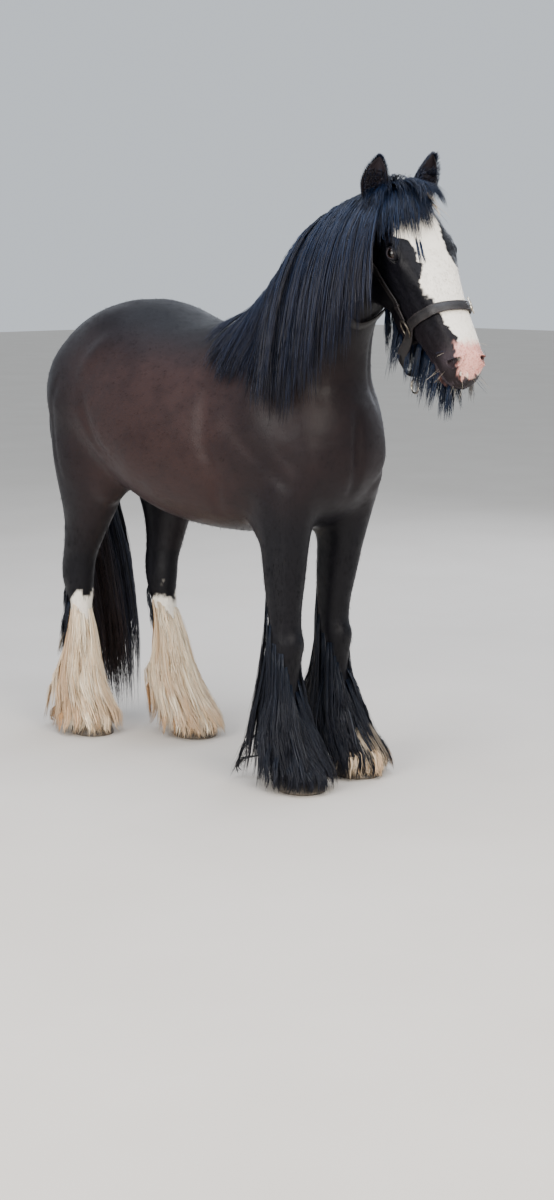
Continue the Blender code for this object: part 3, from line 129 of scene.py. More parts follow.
def put(tree: Tree, kind: str, settings: dict | None = None) -> bpy.types.Node:
    """Adds a node with its settings and links.

    Args:
        tree: the tree that gets the node.
        kind: Blender's name for the type of node.
        settings: by the name or number of an input a value or the socket that feeds it, or by
            the name of a property its value.

    Returns:
        The new node.
    """
    made = tree.nodes.new(kind)
    for name, value in (settings or {}).items():
        if isinstance(value, Socket):
            tree.links.new(value, made.inputs[name])
        elif isinstance(name, int) or name in made.inputs:
            made.inputs[name].default_value = value
        else:
            setattr(made, name, value)
    return made


@dataclass(frozen=True)
class Follow:
    """A value to follow: where it starts and is full, and the results there."""

    name: str
    low: float = 0.0
    high: float = 1.0
    first: float = 0.0
    last: float = 1.0


@dataclass(frozen=True)
class Pattern:
    """Soft grains of a real size, or cells where there is no detail."""

    size_mm: float
    # How much longer the grains are along X, Y and Z
    stretch: tuple[float, float, float] = (1, 1, 1)
    detail: float | None = 3.0
    rough: float = 0.5


# Values that the meshes carry: the attribute, and the part of its colour
MARKS = {"white": ("marks", 0), "pink": ("marks", 1), "warm": ("marks", 2),
         "along": ("strand", 0), "shade": ("strand", 1),
         "bare": ("bare", None), "wear": ("wear", None), "away": ("away", None)}


@dataclass
class Sources:
    """The values that one finish follows, each made once."""

    tree: Tree
    patterns: dict[str, Pattern]
    made: dict[str, Socket] = field(default_factory=dict)

    def read(self, name: str) -> Socket:
        """The socket of a pattern, of a mark on the mesh, or of the height.

        Args:
            name: which of them.

        Returns:
            The socket, the same one every time.
        """
        if name not in self.made:
            self.made[name] = self.new(name)
        return self.made[name]

    def new(self, name: str) -> Socket:
        """Makes the nodes of a value.

        Args:
            name: a pattern, a mark or "height".

        Returns:
            Its socket.
        """
        if name in MARKS:
            mark, number = MARKS[name]
            carried = put(self.tree, "ShaderNodeAttribute", {"attribute_name": mark})
            if number is None:
                return carried.outputs["Fac"]
            return put(self.tree, "ShaderNodeSeparateColor",
                       {0: carried.outputs["Color"]}).outputs[number]
        place = put(self.tree, "ShaderNodeTexCoord").outputs["Object"]
        if name == "height":
            return put(self.tree, "ShaderNodeSeparateXYZ", {0: place}).outputs[2]
        grain = self.patterns[name]
        scale = [1 / (grain.size_mm * MILLIMETRE * s) for s in grain.stretch]
        mapped = put(self.tree, "ShaderNodeMapping", {"Vector": place, "Scale": scale}).outputs[0]
        if grain.detail is None:
            return put(self.tree, "ShaderNodeTexVoronoi", {"Vector": mapped,
                                                           "Scale": 1.0}).outputs[0]
        return put(self.tree, "ShaderNodeTexNoise",
                   {"Vector": mapped, "Scale": 1.0, "Detail": grain.detail,
                    "Roughness": grain.rough}).outputs[0]

    def joined(self, follows: list[Follow], how: str = "MULTIPLY") -> Socket:
        """Some followed values in one.

        Args:
            follows: the values.
            how: the sum that joins them.

        Returns:
            The result's socket.
        """
        total = None
        for item in follows:
            part = put(self.tree, "ShaderNodeMapRange",
                       {"Value": self.read(item.name), "From Min": item.low,
                        "From Max": item.high, "To Min": item.first,
                        "To Max": item.last}).outputs[0]
            total = part if total is None else put(
                self.tree, "ShaderNodeMath", {"operation": how, 0: total, 1: part}).outputs[0]
        return total

    def colour(self, stack: tuple) -> Socket | tuple:
        """A colour with others laid over it in turn.

        Args:
            stack: the lowest colour's hex code, then for each layer its code, or a stack of
                its own, and the values that it follows.

        Returns:
            The topmost colour's socket.
        """
        below = linear(stack[0])
        for over, *follows in stack[1:]:
            top = linear(over) if isinstance(over, str) else self.colour(over)
            below = put(self.tree, "ShaderNodeMix",
                        {"data_type": "RGBA", 0: self.joined(follows), 6: below,
                         7: top}).outputs[2]
        return below


@dataclass(frozen=True)
class Finish:
    """A material: its patterns, colour layers, relief and shader."""

    name: str
    patterns: dict[str, Pattern]
    colour: tuple
    # Strength and depth in metres of each relief, and the values whose sum it follows
    relief: tuple = ()
    shader: dict = field(default_factory=dict)
    roughness: Follow | None = None

    def build(self) -> Material:
        """Makes the material's nodes.

        Returns:
            The material.
        """
        made = bpy.data.materials.new(self.name)
        made.use_nodes = True
        tree = made.node_tree
        tree.nodes.clear()
        sources = Sources(tree, self.patterns)
        feeds = {**self.shader, "Base Color": sources.colour(self.colour)}
        if self.roughness:
            feeds["Roughness"] = sources.joined([self.roughness])
        for strength, depth, *names in self.relief:
            height = sources.read(names[0])
            for name in names[1:]:
                height = put(tree, "ShaderNodeMath",
                             {"operation": "ADD", 0: height, 1: sources.read(name)}).outputs[0]
            below = {"Normal": feeds["Normal"]} if "Normal" in feeds else {}
            feeds["Normal"] = put(tree, "ShaderNodeBump", {
                "Strength": strength, "Distance": depth, "Height": height, **below}).outputs[0]
        shader = put(tree, "ShaderNodeBsdfPrincipled", feeds)
        put(tree, "ShaderNodeOutputMaterial", {0: shader.outputs[0]})
        return made


# Short summer coat over the skin: keratin hairs about 8 mm long that lie flat, IOR 1.55, with a
# soft broad sheen along the muscles. White hair has pink skin below it, and the bare muzzle is
# pink skin with mottles of a deeper pink, or slate.
COAT = Finish(
    "short_coat_hair",
    # Dapples of tens of millimetres, where the coat turns from black to brown. Real hairs are
    # 0.1 mm wide; the streaks are drawn 1.3 mm wide so that they show. Mottles of the skin are
    # 5 mm across, and muscles and veins rise about 90 mm across.
    {"dapple": Pattern(70, (1, 1, 0.8), 2.0), "streak": Pattern(1.3, (9, 1, 5), 3.0, 0.6),
     "mottle": Pattern(5.0, detail=2.0), "rise": Pattern(90, (1, 1, 0.6), 2.0, 0.45)},
    ("#07070b",
     ("#2f201e", Follow("warm"), Follow("dapple", 0.3, 0.7, 0.75, 1.15)),
     ("#1f1c24", Follow("streak", 0.35, 0.75, 0.0, 0.30)),
     (("#efe9dd", ("#cbbfae", Follow("streak", 0.4, 0.7, 0.0, 0.35))), Follow("white")),
     (("#dba296", ("#c27f78", Follow("mottle", 0.54, 0.60))), Follow("pink")),
     ("#3a3236", Follow("bare"))),
    ((0.30, 0.010, "rise"), (0.45, 0.0012, "streak")),
    {"IOR": 1.55, "Specular IOR Level": 0.14, "Sheen Weight": 0.02, "Sheen Roughness": 0.45,
     "Sheen Tint": linear("#a9b4cc")},
    Follow("dapple", 0.3, 0.7, 0.37, 0.50),
)


def long_hair(name: str, lit: str, roughness: float) -> Finish:
    """Mane, tail and feather hair: coarse keratin fibres gathered in strands, IOR 1.55.

    Each strand is even along its length, so it throws a narrow bright line. The blue in the
    black and in its lighter strands is a painted reflection of an open sky, laid into the colour.
    Old tips bleach brown, and white feather is stained by mud low down.

    Args:
        name: the material's name.
        lit: the lighter strands' colour, which holds a painted blue reflection of the sky.
        roughness: how dull it is.

    Returns:
        The finish.
    """
    return Finish(
        name,
        # Fibres within a strand, drawn 0.8 mm wide along the fall of the hair
        {"fibre": Pattern(0.8, (2, 2, 14), 2.0)},
        # Blue-black base and lighter strands chosen at random: their blue is a painted sky
        # reflection
        ("#040a18",
         (lit, Follow("shade")),
         ("#2b1d18", Follow("along"), Follow("warm")),
         ("#2a2f3c", Follow("fibre", 0.45, 0.75, 0.0, 0.18)),
         (("#fff4de", ("#ecd0a6", Follow("shade")), ("#b5824a", Follow("warm")),
           ("#c9b596", Follow("fibre", 0.45, 0.75, 0.0, 0.25))), Follow("white"))),
        ((0.25, 0.0006, "fibre"),),
        {"IOR": 1.55, "Roughness": roughness, "Specular IOR Level": 0.28},
    )


def worn_nickel(name: str, clean: str, dull: str, roughness: float) -> Finish:
    """Cast brass fittings, nickel worn through: a metal, dulled in patches and scratched.

    Args:
        name: the material's name.
        clean: colour where it is handled.
        dull: colour of the tarnish.
        roughness: how dull it is.

    Returns:
        The finish.
    """
    return Finish(
        name,
        # Tarnish in patches of 7 mm; scratches are finer than the 0.7 mm at which they show
        {"patches": Pattern(7.0, detail=4.0, rough=0.6), "scratch": Pattern(0.7, (1, 1, 8), 2.0)},
        (clean, (dull, Follow("patches", 0.4, 0.65))),
        ((0.2, 0.0002, "scratch"),),
        {"Metallic": 1.0},
        Follow("patches", 0.35, 0.7, roughness - 0.08, roughness + 0.2),
    )


# Hoof horn: hard keratin, IOR 1.55, matt, with dust low down. Tubules 1.5 mm apart run
# down it and growth rings lie about 6 mm apart.
HORN = Finish(
    "dark_hoof_horn",
    {"tubule": Pattern(1.5, (1, 1, 25), 2.0), "rings": Pattern(6.0, (30, 30, 1), 1.0),
     "grain": Pattern(9.0, detail=4.0)},
    ("#2b2725", ("#4a423b", Follow("tubule")),
     ("#6f6455", Follow("height", 0.04, 0.0), Follow("grain", 0.35, 0.65))),
    ((0.5, 0.001, "tubule", "rings"),),
    {"IOR": 1.55, "Roughness": 0.55},
)
# Vegetable-tanned bridle leather, dyed near black and waxed, IOR 1.5: a dull gloss, creases,
# and brown where the edges are worn. Pores are 0.3 mm; the grain is drawn at 0.9 mm to show.
LEATHER = Finish(
    "dark_bridle_leather",
    {"cells": Pattern(0.9, detail=None), "creases": Pattern(14.0, detail=5.0, rough=0.6)},
    ("#100d0f", ("#241c1d", Follow("wear"), Follow("creases", 0.35, 0.7)),
     ("#3a3030", Follow("creases", 0.55, 0.8, 0.0, 0.5))),
    ((0.3, 0.0005, "cells", "creases"),),
    {"IOR": 1.5},
    Follow("creases", 0.3, 0.7, 0.42, 0.6),
)
# Waxed linen thread, twisted 0.8 mm thick and darkened with handling
THREAD = Finish(
    "waxed_linen_thread", {"twist": Pattern(0.8)}, ("#1d1816", ("#322a27", Follow("twist"))),
    ((0.4, 0.0003, "twist"),), {"Roughness": 0.7},
)
# The wet eyeball: oblong pupil, dark brown iris with fibres half a millimetre wide, drawn
# 0.9 mm wide, a dark rim, and the cornea of IOR 1.376 as a coat
EYE = Finish(
    "wet_brown_eye", {"fibres": Pattern(0.9, detail=4.0, rough=0.7)},
    ("#030202", (("#0b0706", ("#24140d", Follow("fibres"))), Follow("away", 0.34, 0.40)),
     ("#0b0706", Follow("away", 0.84, 0.92)), ("#1d1512", Follow("away", 0.98, 1.10))),
    ((0.1, 0.0002, "fibres"),),
    {"Roughness": 0.12, "IOR": 1.376, "Coat Weight": 0.45, "Coat Roughness": 0.02,
     "Coat IOR": 1.376},
)
# Plain pale studio floor: painted screed, matt, with faint clouds 600 mm across
FLOOR = Finish(
    "pale_painted_screed", {"cloud": Pattern(600, detail=4.0)},
    ("#cfcac3", ("#c2bcb4", Follow("cloud"))), (), {"Roughness": 0.85},
)


def mesh_of(name: str, points: Array, faces: Array | list, flat_ends: bool = False) -> Mesh:
    """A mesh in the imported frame, shaded smooth.

    Args:
        name: the mesh's name.
        points: places in the pattern's axes, one row each.
        faces: each face's corner numbers.
        flat_ends: whether faces without four corners are shaded flat.

    Returns:
        The mesh.
    """
    mesh = bpy.data.meshes.new(name)
    if isinstance(faces, Array):
        sizes, corners = np.full(len(faces), faces.shape[1]), faces.ravel()
    else:
        sizes, corners = np.array([len(f) for f in faces]), np.concatenate(faces)
    mesh.vertices.add(len(points))
    mesh.vertices.foreach_set("co", (points - MIDDLE).astype(np.float32).ravel())
    mesh.loops.add(len(corners))
    mesh.loops.foreach_set("vertex_index", corners.astype(np.int32))
    mesh.polygons.add(len(faces))
    mesh.polygons.foreach_set("loop_start", (np.cumsum(sizes) - sizes).astype(np.int32))
    mesh.polygons.foreach_set("use_smooth", (sizes == 4) | (not flat_ends))
    mesh.update(calc_edges=True)
    return mesh


def store(mesh: Mesh, name: str, values: Array) -> None:
    """Keeps a value or colour for every point of a mesh.

    Args:
        mesh: the mesh.
        name: the attribute's name.
        values: one number, or three, for each point.
    """
    if values.ndim == 1:
        made = mesh.attributes.new(name, "FLOAT", "POINT")
        made.data.foreach_set("value", values.astype(np.float32))
        return
    made = mesh.attributes.new(name, "FLOAT_COLOR", "POINT")
    full = np.concatenate([values, np.ones((len(values), 1))], axis=1)
    made.data.foreach_set("color", full.astype(np.float32).ravel())


def show(name: str, mesh: Mesh, material: Material, slot: Slot, *nodes: str) -> None:
    """Places a mesh in the scene as a piece of the animal and reports it.

    Args:
        name: the piece's name.
        mesh: its mesh.
        material: its material.
        slot: the record's slot that it takes its finish from; not used.
        nodes: the CAD nodes that it stands for.
    """
    made = bpy.data.objects.new(name, mesh)
    bpy.context.scene.collection.objects.link(made)
    mesh.materials.append(material)
    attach(made, BODY)
    if nodes:
        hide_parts(*nodes)
    log.info("%s: %d points, %d faces", name, len(mesh.vertices), len(mesh.polygons))


def read_mesh(mesh: Mesh) -> tuple[Array, Array, Array]:
    """A mesh's points in the pattern's axes, its triangles' corners and its edges' ends.

    Args:
        mesh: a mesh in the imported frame.

    Returns:
        Points, triangles and edges.
    """
    points = np.empty(len(mesh.vertices) * 3, np.float32)
    mesh.vertices.foreach_get("co", points)
    mesh.calc_loop_triangles()
    corners = np.empty(len(mesh.loop_triangles) * 3, np.int32)
    mesh.loop_triangles.foreach_get("vertices", corners)
    edges = np.empty(len(mesh.edges) * 2, np.int32)
    mesh.edges.foreach_get("vertices", edges)
    return (points.reshape(-1, 3).astype(float) + MIDDLE, corners.reshape(-1, 3),
            edges.reshape(-1, 2))


def move_mesh(mesh: Mesh, points: Array) -> Array:
    """Moves a mesh's points.

    Args:
        mesh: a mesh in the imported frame.
        points: their new places in the pattern's axes.

    Returns:
        The normal at each.
    """
    mesh.vertices.foreach_set("co", (points - MIDDLE).astype(np.float32).ravel())
    mesh.update()
    return np.array([v.normal for v in mesh.vertices])


def unit(rows: Array) -> Array:
    """Rows made one long."""
    return rows / np.maximum(np.linalg.norm(rows, axis=-1, keepdims=True), 1e-9)


def smoothed(rows: Array, steps: int) -> Array:
    """Stations with more between them, on a smooth curve through all of them.

    Args:
        rows: one row for each station.
        steps: how many come from each.

    Returns:
        The finer rows, with the last station at their end.
    """
    rows = np.asarray(rows, float)
    before = np.concatenate([rows[:1], rows[:-2]])
    after = np.concatenate([rows[2:], rows[-1:]])
    first, second = rows[:-1], rows[1:]
    parts = []
    for k in range(steps):
        t = k / steps
        parts.append(0.5 * (2 * first + (second - before) * t
                            + (2 * before - 5 * first + 4 * second - after) * t * t
                            + (3 * first - before - 3 * second + after) * t ** 3))
    woven = np.stack(parts, axis=1).reshape(-1, rows.shape[1])
    return np.concatenate([woven, rows[-1:]])


def ripple(points: Array, size: float, seed: int) -> Array:
    """Smooth noise from about -1 to 1 made of a few waves in mixed directions.

    Args:
        points: places in metres.
        size: length of the shortest wave, in metres.
        seed: chooses the directions.

    Returns:
        One value for each point.
    """
    rng = np.random.default_rng(seed)
    total = np.zeros(len(points))
    for k in range(7):
        way = unit(rng.normal(size=3)) * (TURN / (size * (1 + 0.45 * k)))
        total += np.sin(points @ way + rng.uniform(0, TURN))
    return total / 3.0


def ease(value: Array, low: float, high: float) -> Array:
    """A smooth step from 0 at low to 1 at high, which may be the lesser."""
    t = np.clip((value - low) / (high - low), 0, 1)
    return t * t * (3 - 2 * t)


def bump(value: Array, middle: float, width: float) -> Array:
    """A bell curve of height 1."""
    return np.exp(-((value - middle) / width) ** 2)


def circle(count: int, power: float | Array = 2.0) -> tuple[Array, Array]:
    """Cosine and sine round a circle, or round a squarer outline.

    Args:
        count: how many points it has.
        power: 2 is a circle, more is squarer.

    Returns:
        Both for every point.
    """
    angle = np.linspace(0, TURN, count, endpoint=False)
    c, s = np.cos(angle), np.sin(angle)
    return np.sign(c) * np.abs(c) ** (2 / power), np.sign(s) * np.abs(s) ** (2 / power)


def ring(centre: Array, up: Array, side: Array, above: float, below: float, half: float,
         peak: float, base: float = 2.2, count: int = 36) -> Array:
    """A closed outline round a centre.

    Args:
        centre: its middle.
        up: unit vector to its top.
        side: unit vector across it.
        above: reach to the top.
        below: reach to the bottom.
        half: half the width.
        peak: how full the upper half is; 2 is an ellipse.
        base: how full the lower half is.
        count: how many points it has.

    Returns:
        The points.
    """
    upper = np.cos(np.linspace(0, TURN, count, endpoint=False)) > 0
    c, s = circle(count, np.where(upper, peak, base))
    return centre + np.outer(c * np.where(c > 0, above, below), up) + np.outer(s * half, side)


def woven(rows: int, columns: int, closed: bool = False) -> Array:
    """Faces between neighbouring outlines.

    Args:
        rows: how many outlines there are.
        columns: how many points each has.
        closed: whether the last outline is joined to the first.

    Returns:
        Four corner numbers for each face.
    """
    first = np.arange(rows * columns).reshape(rows, columns)
    after = np.roll(first, -1, 0)
    if not closed:
        first, after = first[:-1], after[:-1]
    return np.stack([first, np.roll(first, -1, 1), np.roll(after, -1, 1), after],
                    axis=-1).reshape(-1, 4)


def capped(rows: int, columns: int) -> list:
    """The same with a face over each end."""
    number = np.arange(rows * columns).tolist()
    return [*woven(rows, columns).tolist(), number[:columns][::-1], number[-columns:]]


def loft(rings: list[Array]) -> Form:
    """Points and faces of a closed form through outlines with equal numbers of points."""
    return np.concatenate(rings), capped(len(rings), len(rings[0]))


def ellipsoid(centre: Array, radii: tuple[float, float, float], axes: Array = np.eye(3),
              count: int = 24) -> Form:
    """A closed ellipsoid.

    Args:
        centre: its middle.
        radii: its half lengths.
        axes: three unit vectors for the radii, one in each row.
        count: how many points it has round it.

    Returns:
        Points and faces.
    """
    rings = []
    c, s = circle(count)
    for tilt in np.linspace(-math.pi / 2, math.pi / 2, count // 2 + 1)[1:-1]:
        ball = np.stack([c * math.cos(tilt), s * math.cos(tilt),
                         np.full(count, math.sin(tilt))], axis=1)
        rings.append(centre + (ball * radii) @ axes)
    return loft(rings)


def gathered(forms: list[Form]) -> Form:
    """Some forms as one.

    Args:
        forms: points and faces of each.

    Returns:
        Points and faces.
    """
    points, faces, base = [], [], 0
    for places, corners in forms:
        points.append(places)
        faces += [[base + c for c in face] for face in corners]
        base += len(places)
    return np.concatenate(points), faces


def relaxed(points: Array, edges: Array, weight: Array, passes: int,
            keep_size: bool = False) -> Array:
    """Points drawn towards the middle of their neighbours.

    Args:
        points: the places.
        edges: pairs of neighbours.
        weight: how far each point may follow, from 0 to 1.
        passes: how many times.
        keep_size: whether every pass is followed by one outward, which keeps the volume.

    Returns:
        The smoother points.
    """
    a, b = edges.T
    total = len(points)
    count = np.maximum(np.bincount(a, minlength=total) + np.bincount(b, minlength=total), 1)
    for _ in range(passes):
        for pull in (0.5, -0.52) if keep_size else (0.5,):
            middle = np.stack([np.bincount(a, points[b, k], total)
                               + np.bincount(b, points[a, k], total) for k in range(3)], axis=1)
            points = points + (middle / count[:, None] - points) * (weight * pull)[:, None]
    return points


class Surface:
    """The outside of a mesh, for resting hair and straps on it."""

    def __init__(self, points: Array, corners: Array) -> None:
        """Takes in its points and triangles."""
        self.tree = BVHTree.FromPolygons([Vector(p) for p in points], corners.tolist())

    def hit(self, origin: Vector, way: Vector) -> tuple[Vector, Vector]:
        """The first point on a ray, and the normal there."""
        return self.tree.ray_cast(origin, way.normalized())[:2]

    def clear(self, point: Vector, lift: float) -> Vector:
        """The point, moved out to this height above the surface if it is lower."""
        near, normal, _, _ = self.tree.find_nearest(point)
        return near + normal * lift if (point - near).dot(normal) < lift else point

    def cleared(self, points: Array, lift: Array) -> Array:
        """Many points moved out to their heights above the surface.

        Args:
            points: the places.
            lift: the least height of each.

        Returns:
            The places, none lower than its height, but for those deep inside.
        """
        out = points.copy()
        for i, (point, least) in enumerate(zip(points, lift)):
            near, normal, _, away = self.tree.find_nearest(Vector(point), SEEK)
            if near is not None and away < DEEP and (Vector(point) - near).dot(normal) < least:
                out[i] = near + normal * least
        return out


@dataclass
class Head:
    """The head's own axes: s down the face from the poll, n back to the throat, w left."""

    poll: tuple[float, float, float] = (0.664, -0.004, 1.787)
    yaw: float = math.radians(-14.2)
    pitch: float = math.radians(51.4)
    roll: float = math.radians(4.4)
    scale: float = 1.04
    down: Vector = field(init=False)
    back: Vector = field(init=False)
    left: Vector = field(init=False)

    def __post_init__(self) -> None:
        """Works out the three directions."""
        self.down = Vector((math.cos(self.yaw) * math.cos(self.pitch),
                            math.sin(self.yaw) * math.cos(self.pitch), -math.sin(self.pitch)))
        left = Vector((-math.sin(self.yaw), math.cos(self.yaw), 0.0))
        back = self.down.cross(left)
        back = back if back.z < 0 else -back
        turn = Matrix.Rotation(self.roll, 3, self.down)
        self.back = turn @ back
        self.left = turn @ left

    @property
    def axes(self) -> Array:
        """The directions, one in each row."""
        return np.array((self.down, self.back, self.left))

    def on(self, s: float, n: float, w: float) -> Vector:
        """A point given in the head's own axes."""
        return (Vector(self.poll)
                + (self.down * s + self.back * n + self.left * w) * self.scale)

    def read(self, points: Array) -> Array:
        """The s, n and w of many points, one in each row."""
        return ((points - np.array(self.poll)) @ self.axes.T / self.scale).T


@dataclass
class Stance:
    """How one leg stands away from the pattern leg."""

    fore: bool
    side: Side
    hoof_x: float
    hoof_out: float
    joint_x: float
    joint_out: float
    joint_z: float = 0.480
    hip_z: float = 0.980

    @property
    def name(self) -> str:
        """The leg's name as the nodes have it."""
        return ("fore_" if self.fore else "hind_") + self.side.word

    def shift(self, z: float) -> tuple[float, float]:
        """Fore and aft and outward shift of a section.

        Args:
            z: its height.

        Returns:
            Both, in metres.
        """
        if z >= self.hip_z:
            return 0.0, 0.0
        if z >= self.joint_z:
            share = (self.hip_z - z) / (self.hip_z - self.joint_z)
            share = share * share * (3 - 2 * share)
            return self.joint_x * share, self.joint_out * share
        share = (self.joint_z - z) / self.joint_z
        return (self.joint_x + (self.hoof_x - self.joint_x) * share,
                self.joint_out + (self.hoof_out - self.joint_out) * share)

    def sections(self, rows: tuple) -> list[tuple[Array, float, float]]:
        """Centre, half depth and half width of the leg's sections, from the top down.

        Args:
            rows: the pattern leg's height, place ahead, place aside, half depth, half width.

        Returns:
            The sections, four for each row.
        """
        found = []
        for z, x, y, depth, half in smoothed(np.array(rows), 4):
            ahead, out = self.shift(z)
            found.append((np.array((x + ahead, self.side.value * (y + out), z)), depth, half))
        return found


def nearest(sections: list[tuple], z: float) -> tuple[Array, float, float]:
    """The section whose height is nearest."""
    return min(sections, key=lambda item: abs(item[0][2] - z))


STANCES = (
    Stance(True, Side.RIGHT, 0.012, 0.010, -0.016, 0.016),
    Stance(True, Side.LEFT, 0.000, 0.000, -0.040, -0.022),
    Stance(False, Side.RIGHT, -0.020, 0.004, -0.010, -0.004),
    Stance(False, Side.LEFT, 0.272, -0.010, 0.155, -0.020),
)


@dataclass
class Flesh:
    """The skin: masses of torso, neck, head and legs fused into one smooth surface."""

    head: Head
    voxel: float = 0.0102
    thick_passes: int = 30
    thin_passes: int = 3
    even_passes: int = 5
    # Place along the body, top line, belly line, half width, widest height, roundness above
    torso: tuple = (
        (0.495, 1.130, 0.960, 0.065, 1.04, 2.0), (0.465, 1.210, 0.895, 0.140, 1.04, 2.0),
        (0.415, 1.290, 0.835, 0.195, 1.05, 2.0), (0.340, 1.370, 0.792, 0.232, 1.06, 2.0),
        (0.240, 1.425, 0.768, 0.258, 1.06, 1.8), (0.140, 1.448, 0.752, 0.280, 1.05, 1.7),
        (0.040, 1.414, 0.745, 0.300, 1.04, 1.8), (-0.080, 1.395, 0.748, 0.316, 1.04, 2.1),
        (-0.200, 1.405, 0.764, 0.322, 1.05, 2.2), (-0.320, 1.447, 0.800, 0.312, 1.08, 2.2),
        (-0.420, 1.466, 0.840, 0.297, 1.12, 2.2), (-0.520, 1.456, 0.880, 0.283, 1.14, 2.2),
        (-0.620, 1.425, 0.915, 0.262, 1.15, 2.2), (-0.710, 1.372, 0.950, 0.218, 1.15, 2.1),
        (-0.790, 1.295, 0.990, 0.148, 1.14, 2.0), (-0.835, 1.215, 1.040, 0.078, 1.12, 2.0),
    )
    # Centre and half sizes of shoulder, arm, thigh, buttock and croup, for the left side
    muscles: tuple = (
        ((0.375, 0.112, 1.010), (0.102, 0.090, 0.165)),
        ((0.250, 0.150, 1.120), (0.130, 0.106, 0.235)),
        ((-0.565, 0.134, 1.150), (0.208, 0.144, 0.220)),
        ((-0.692, 0.104, 1.060), (0.120, 0.106, 0.205)),
        ((-0.440, 0.110, 1.335), (0.180, 0.120, 0.110)),
    )
    # Crest ahead and up, throat ahead and up, place aside, half width, roundness above
    neck: tuple = (
        (0.020, 1.370, 0.430, 0.960, 0.000, 0.225, 1.8),
        (0.130, 1.478, 0.455, 1.110, 0.000, 0.190, 1.8),
        (0.240, 1.602, 0.465, 1.230, 0.000, 0.152, 1.7),
        (0.360, 1.710, 0.485, 1.330, 0.000, 0.125, 1.7),
        (0.480, 1.780, 0.540, 1.420, 0.000, 0.106, 1.7),
        (0.590, 1.800, 0.615, 1.492, -0.002, 0.094, 1.8),
        (0.660, 1.787, 0.700, 1.545, -0.010, 0.082, 2.0),
    )
    # Place down the face, face line, underside, half width, widest share, roundness above
    skull: tuple = (
        (-0.030, 0.016, 0.120, 0.048, 0.50, 2.0), (0.000, -0.006, 0.180, 0.072, 0.40, 2.0),
        (0.060, -0.012, 0.215, 0.087, 0.30, 2.3), (0.120, -0.012, 0.232, 0.096, 0.25, 2.8),
        (0.180, -0.010, 0.236, 0.100, 0.25, 3.0), (0.240, -0.006, 0.230, 0.091, 0.26, 3.0),
        (0.310, -0.003, 0.212, 0.078, 0.30, 2.8), (0.380, -0.001, 0.190, 0.069, 0.34, 2.6),
        (0.450, 0.000, 0.170, 0.063, 0.38, 2.5), (0.510, 0.004, 0.154, 0.059, 0.40, 2.4),
        (0.550, 0.018, 0.143, 0.053, 0.42, 2.3), (0.580, 0.038, 0.126, 0.042, 0.45, 2.2),
        (0.596, 0.058, 0.106, 0.024, 0.50, 2.0),
    )
    # Cheek, brow, jaw, nostril and ear base on each side: place and half sizes
    face_pairs: tuple = (
        ((0.160, 0.165, 0.052), (0.100, 0.096, 0.036)),
        ((0.172, 0.030, 0.082), (0.036, 0.024, 0.020)),
        ((0.280, 0.190, 0.030), (0.110, 0.042, 0.024)),
        ((0.542, 0.051, 0.036), (0.034, 0.034, 0.022)),
        ((0.050, 0.080, 0.060), (0.050, 0.055, 0.030)),
    )
    lips: tuple = (
        ((0.520, 0.140, 0.0), (0.048, 0.031, 0.036)),
        ((0.566, 0.084, 0.0), (0.033, 0.036, 0.036)),
    )
    # Height, place ahead, place aside, half depth, half width
    fore_leg: tuple = (
        (1.060, 0.330, 0.130, 0.120, 0.080), (0.940, 0.325, 0.135, 0.118, 0.084),
        (0.840, 0.320, 0.132, 0.103, 0.080), (0.750, 0.325, 0.128, 0.087, 0.070),
        (0.640, 0.330, 0.124, 0.070, 0.060), (0.540, 0.333, 0.120, 0.056, 0.052),
        (0.480, 0.336, 0.118, 0.052, 0.051), (0.435, 0.340, 0.118, 0.054, 0.054),
        (0.390, 0.335, 0.118, 0.047, 0.047), (0.330, 0.330, 0.118, 0.041, 0.037),
        (0.250, 0.330, 0.120, 0.040, 0.036), (0.185, 0.330, 0.122, 0.047, 0.043),
        (0.150, 0.336, 0.123, 0.048, 0.044), (0.110, 0.352, 0.125, 0.042, 0.041),
        (0.075, 0.368, 0.126, 0.052, 0.050), (0.040, 0.376, 0.127, 0.052, 0.050),
    )
    hind_leg: tuple = (
        (1.180, -0.550, 0.130, 0.180, 0.105), (1.060, -0.570, 0.145, 0.180, 0.112),
        (0.940, -0.572, 0.152, 0.168, 0.104), (0.840, -0.580, 0.152, 0.140, 0.088),
        (0.740, -0.605, 0.145, 0.105, 0.068), (0.650, -0.645, 0.138, 0.078, 0.054),
        (0.590, -0.672, 0.132, 0.070, 0.047), (0.535, -0.684, 0.128, 0.066, 0.048),
        (0.470, -0.682, 0.125, 0.054, 0.042), (0.400, -0.680, 0.122, 0.045, 0.037),
        (0.300, -0.680, 0.120, 0.042, 0.036), (0.200, -0.680, 0.118, 0.048, 0.043),
        (0.155, -0.672, 0.117, 0.049, 0.044), (0.110, -0.650, 0.116, 0.043, 0.041),
        (0.075, -0.632, 0.116, 0.052, 0.050), (0.040, -0.624, 0.116, 0.052, 0.050),
    )
    # Height, shift ahead and outward, half sizes of knee, fetlock, forearm, hock and stifle
    fore_lumps: tuple = (
        (0.440, 0.012, 0.000, (0.046, 0.050, 0.052)),
        (0.410, -0.034, 0.000, (0.026, 0.030, 0.034)),
        (0.175, -0.016, 0.000, (0.040, 0.040, 0.034)),
        (0.820, -0.070, 0.010, (0.060, 0.050, 0.085)),
    )
    hind_lumps: tuple = (
        (0.575, -0.050, 0.000, (0.030, 0.027, 0.045)),
        (0.520, 0.006, 0.000, (0.052, 0.047, 0.060)),
        (0.185, -0.016, 0.000, (0.040, 0.040, 0.036)),
        (0.900, 0.110, 0.012, (0.070, 0.070, 0.110)),
        (0.795, 0.004, 0.010, (0.076, 0.058, 0.125)),
    )
